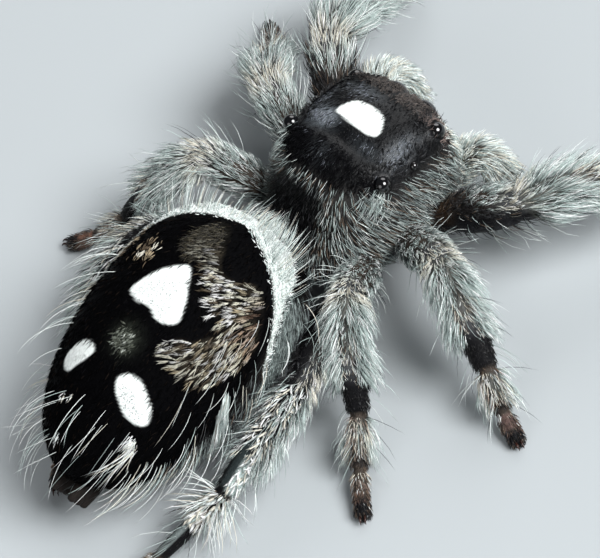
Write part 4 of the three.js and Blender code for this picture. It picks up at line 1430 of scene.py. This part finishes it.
def furField(coat):  # the gold-grey field, in small locks that turn as they go back
    def density(u, v):
        along, _, folded = bellySides(u, v)
        return bellyAreas(u, v)["field"] * (0.35 + 0.65 * mottle(along, folded))

    at = belly.sow(scaleCoat["field"]["many"], density)
    lengthwise, _, folded = bellySides(at.u, at.v)
    turn = 8 + 47 * smooth(1.1, 2.4, lengthwise - 0.3 * (folded - 2.2))
    turn = turn + 34 * smooth(2.8, 2.0, folded) * smooth(1.2, 0.5, lengthwise) + rng.normal(0, 8, at.count)
    turn = np.radians(turn)[:, None]
    lie = at.along * np.cos(turn) - at.aside * np.sin(turn)
    kept = spreadOut(at, lie, scaleCoat["field"]["apart"])
    at, lie, lengthwise, folded = at.keep(kept), lie[kept], lengthwise[kept], folded[kept]
    bright = 0.76 + 0.5 * hump(lengthwise, 2.1, 1.1) * hump(folded, 2.0, 1.1)
    tone = at.pick(scaleCoat["golds"], 0.2) * bright[:, None]
    tone = tone * (1 - 0.6 * smooth(2.5, 2.9, lengthwise) * smooth(1.8, 1.4, folded))[:, None]
    browns = at.pick(scaleCoat["browns"], 0.12)
    tone = blend(tone, browns, smooth(2.6, 3.3, folded) * smooth(0.9, 1.5, lengthwise) * 0.75)
    which = np.repeat(np.arange(at.count), scaleCoat["lock"]["hairs"])
    at, lie, tone = at.keep(which), lie[which], tone[which]
    for way, reach in zip((lie, np.cross(lie, at.out)), scaleCoat["lock"]["scatter"]):
        at.root = at.root + way * rng.normal(0, reach, (at.count, 1))
    tone = capped(tone * np.exp(rng.normal(0, 0.1, (at.count, 1))))
    coat.add(at, lie, tone, scaleCoat["field"], clump=which)


def furSmall(coat):
    for area in ("smudge", "olive"):
        coat.grow(belly, {**scaleCoat["dull"], **scaleCoat[area]},
                  lambda u, v, area=area: np.clip(bellyAreas(u, v)[area] - 0.2, 0, 1),
                  lambda at: at.backward(0.3) - 0.5 * at.aside)

    def leftTufts(u, v):  # a few brown tufts at the left, above the triangle
        along, across = bellyMap(u, v)
        nearer = hump(along, 2.1, 0.3) * hump(across, -1.6, 0.35)
        return nearer + 0.5 * hump(along, 2.2, 0.5) * hump(across, -3.2, 0.4)

    group = scaleCoat["leftTufts"]
    at = belly.sow(group["many"], leftTufts)
    known, which = np.unique(at.clump(*group["clump"]), return_inverse=True)
    tone = pick(scaleCoat["leftBrowns"], len(known), 0.2)[which]
    coat.add(at, at.along + at.aside * 0.7, tone, group)
    for place, beside, many, length, size in scaleCoat["tufts"]:
        def near(u, v, place=place, beside=beside, size=size):
            along, across = bellyMap(u, v)
            return hump(along, place, size) * hump(across, beside, size)

        group = {**scaleCoat["tuft"], "many": many, "length": length}
        coat.grow(belly, group, near, lambda at: at.backward(0.25))
    at, tone = coat.begin(belly, scaleCoat["dash"], lambda u, v: bellyDepth(u, v, "dash") > 0.0)
    lie = np.tile([0.0, -0.85, -1.0], (at.count, 1)) + rng.normal(0, 0.05, (at.count, 3))
    coat.add(at, lie, tone, scaleCoat["dash"], tip=capped(tone))


def furPatches(materials):
    coat = Coat()
    furWhite(coat)
    furField(coat)
    furSmall(coat)
    coat.build("coat_abdomen_scales", materials["coat"], "abdomen_coat")


fringe = {
    "flank": dict(many=1500, colours=[(3, srgb(156, 170, 167)), (3, midGrey), (1, srgb(84, 93, 92))],
                  length=(0.35, 0.62), width=0.024, lift=((18, 36), 6), shade=0.55),
    "hanging": dict(many=1700, colours=[(3, paleGrey), (3, midGrey), (1, cream), (1, brown), (2, darkGrey)],
                    length=(0.6, 1.3), width=0.022, lift=((22, 42), 10), shade=0.55, sway=0.3),
    "front": dict(many=380, colours=[(3, paleGrey), (2, white), (1, cream)], width=0.02,
                  lift=((60, 84), 56), shade=0.7),
}


def furFringe(materials):  # hair beside the band, low on the sides, and stiff at the front edge
    coat = Coat()
    coat.grow(belly, fringe["flank"], lambda u, v: bellyAreas(u, v)["flank"],
              lambda at: at.backward(0.15) + [0, 0, -0.5])
    coat.grow(belly, fringe["hanging"],
              lambda u, v: smooth(3.9, 5.4, bellySides(u, v)[2]) * smooth(0.35, 0.6, u),
              lambda at: at.backward(0.15) + [0, 0, -0.6])

    def frontEdge(u, v):
        inBand = bellyDepth(u, v, "band") > 0.1
        return smooth(0.08, 0.0, u) + 0.5 * inBand * smooth(2.8, 3.6, bellyMap(u, v)[0])

    at, tone = coat.begin(belly, fringe["front"], frontEdge)
    outer = smooth(1.2, 2.4, np.abs(bellyMap(at.u, at.v)[1]))
    coat.add(at, -at.along, tone, fringe["front"], length=at.draw(0.4, 0.85) * (1 + 0.7 * outer))
    coat.build("coat_abdomen_fringe", materials["coat"], "abdomen_coat")


bristles = dict(many=170, colours=[(6, white), (1, cream), (2, paleGrey)], jitter=0.1, length=(1.2, 2.3),
                width=(0.016, 0.024), lift=((46, 64), 2), shade=0.8, sway=0.18, profile=(1.0, 0.95, 0.75))


def furBristles(materials):  # long, curved and leaning back
    coat = Coat(7)

    def longOnes(u, v):
        lengthwise, _, folded = bellySides(u, v)
        edge = smooth(2.2, 3.6, folded) + within(lengthwise, -4.75, -4.2, -3.2, -2.0) * 1.6
        return edge * smooth(0.18, 0.45, u) * (0.25 + (heightAt(v) > -0.5))

    at, tone = coat.begin(belly, bristles, longOnes)
    sideways = np.where(bellyMap(at.u, at.v)[1] > 0, 0.15, -0.75)[:, None] * [1.0, 0.0, 0.0]
    lie = 0.5 * at.along + [0.0, -0.7, 0.0] + sideways + rng.normal(0, 0.1, at.along.shape)
    coat.add(at, lie, tone, bristles, tip=capped(tone))
    coat.build("coat_abdomen_bristles", materials["coat"], "abdomen_coat")


camera = {
    "right": (0.687, 0.684, -0.249),
    "up": (-0.483, 0.684, 0.548),
    "back": (0.545, -0.256, 0.8),
    "target": (1.07, -3.35, 2.5),
    "distance": 180.0,
    "lens": 345.6,
    "sensor": 36.0,
    "near": 0.005,
    "far": 10.0,
}
studio = {
    "floor": srgb(168, 174, 177),
    "floorReach": 3000.0,
    "floorDrop": 0.02,
    "floorRoughness": 0.8,
    "world": (0.62, 0.66, 0.7),
    "worldStrength": 0.14,
    "lit": [0, -3, 0],
    "lights": [  # direction from the spider, distance, size, power
        ((0.75, 0.35, 0.9), 420, 260, 3.2),
        ((-0.5, 0.9, 0.7), 450, 320, 0.85),
        ((0.3, -1.0, 0.6), 450, 320, 0.6),
    ],
}


def turnTo(right, up, back):
    axes = np.array([right, up, back], float)
    axes[2] = unit(axes[2])
    axes[0] = unit(np.cross(axes[1], axes[2]))
    axes[1] = np.cross(axes[2], axes[0])
    return Matrix(axes.T.tolist()).to_4x4()


def placeAt(thing, turn, spot):
    thing.matrix_world = Matrix.Translation(((np.array(spot) + offset) * millimetre).tolist()) @ turn


def buildStudio():
    scene = bpy.context.scene
    scene.view_settings.view_transform = "Standard"
    lens = bpy.data.cameras.new("camera")
    lens.lens, lens.sensor_width = camera["lens"], camera["sensor"]
    lens.clip_start, lens.clip_end = camera["near"], camera["far"]
    seen = bpy.data.objects.new("camera", lens)
    scene.collection.objects.link(seen)
    spot = np.array(camera["target"]) + camera["distance"] * np.array(camera["back"])
    placeAt(seen, turnTo(camera["right"], camera["up"], camera["back"]), spot)
    scene.camera = seen
    for number, (aim, distance, size, power) in enumerate(studio["lights"]):
        lamp = bpy.data.lights.new(f"light_{number}", "AREA")
        lamp.shape, lamp.size, lamp.energy = "DISK", size * millimetre, power
        aim = unit(np.array(aim, float))
        side = unit(np.cross([0, 0, 1], aim))
        placed = bpy.data.objects.new(lamp.name, lamp)
        scene.collection.objects.link(placed)
        placeAt(placed, turnTo(side, np.cross(aim, side), aim), aim * distance + studio["lit"])
    world = bpy.data.worlds.new("studio")
    scene.world = world
    world.use_nodes = True
    world.node_tree.nodes["Background"].inputs["Color"].default_value = (*studio["world"], 1)
    world.node_tree.nodes["Background"].inputs["Strength"].default_value = studio["worldStrength"]
    buildFloor(scene)


def buildFloor(scene):
    make = Maker("floor_paper")
    cloud = make.ramp(make.noise(0.02, 2.0), 0.3, 0.7, 0.96, 1.04)
    paper = make.dress({"Base Color": make.shade(studio["floor"].tolist(), cloud),
                        "Roughness": studio["floorRoughness"]})
    reach = studio["floorReach"] * millimetre
    corners = [(-reach, -reach, 0), (reach, -reach, 0), (reach, reach, 0), (-reach, reach, 0)]
    mesh = bpy.data.meshes.new("floor")
    mesh.from_pydata(corners, [], [(0, 1, 2, 3)])
    mesh.materials.append(paper)
    floor = bpy.data.objects.new("floor", mesh)
    floor.location.z = -studio["floorDrop"] * millimetre
    scene.collection.objects.link(floor)


materials = {
    "coat": coatMaterial(),
    "velvet": coatMaterial("coat_velvet", 0.01),
    "shell": shellMaterial(),
    "skin": skinMaterial(),
    "velvetSkin": skinMaterial("velvet_skin", 0.01),
    "eye": eyeMaterial(),
    "jaw": jawMaterial(),
    "claw": clawMaterial(),
}
buildStudio()
print("studio ready")
for build in (buildCarapace, buildEyes, buildAbdomen, buildSkin, buildJaws, buildClaws):
    build(materials)
print("skin and shell ready")
for limb in limbs:
    furLeg(limb, materials)
for fur in (furHead, furTop, furFace, furPalps, furVelvet, furPatches, furFringe, furBristles):
    fur(materials)
print("coat ready")
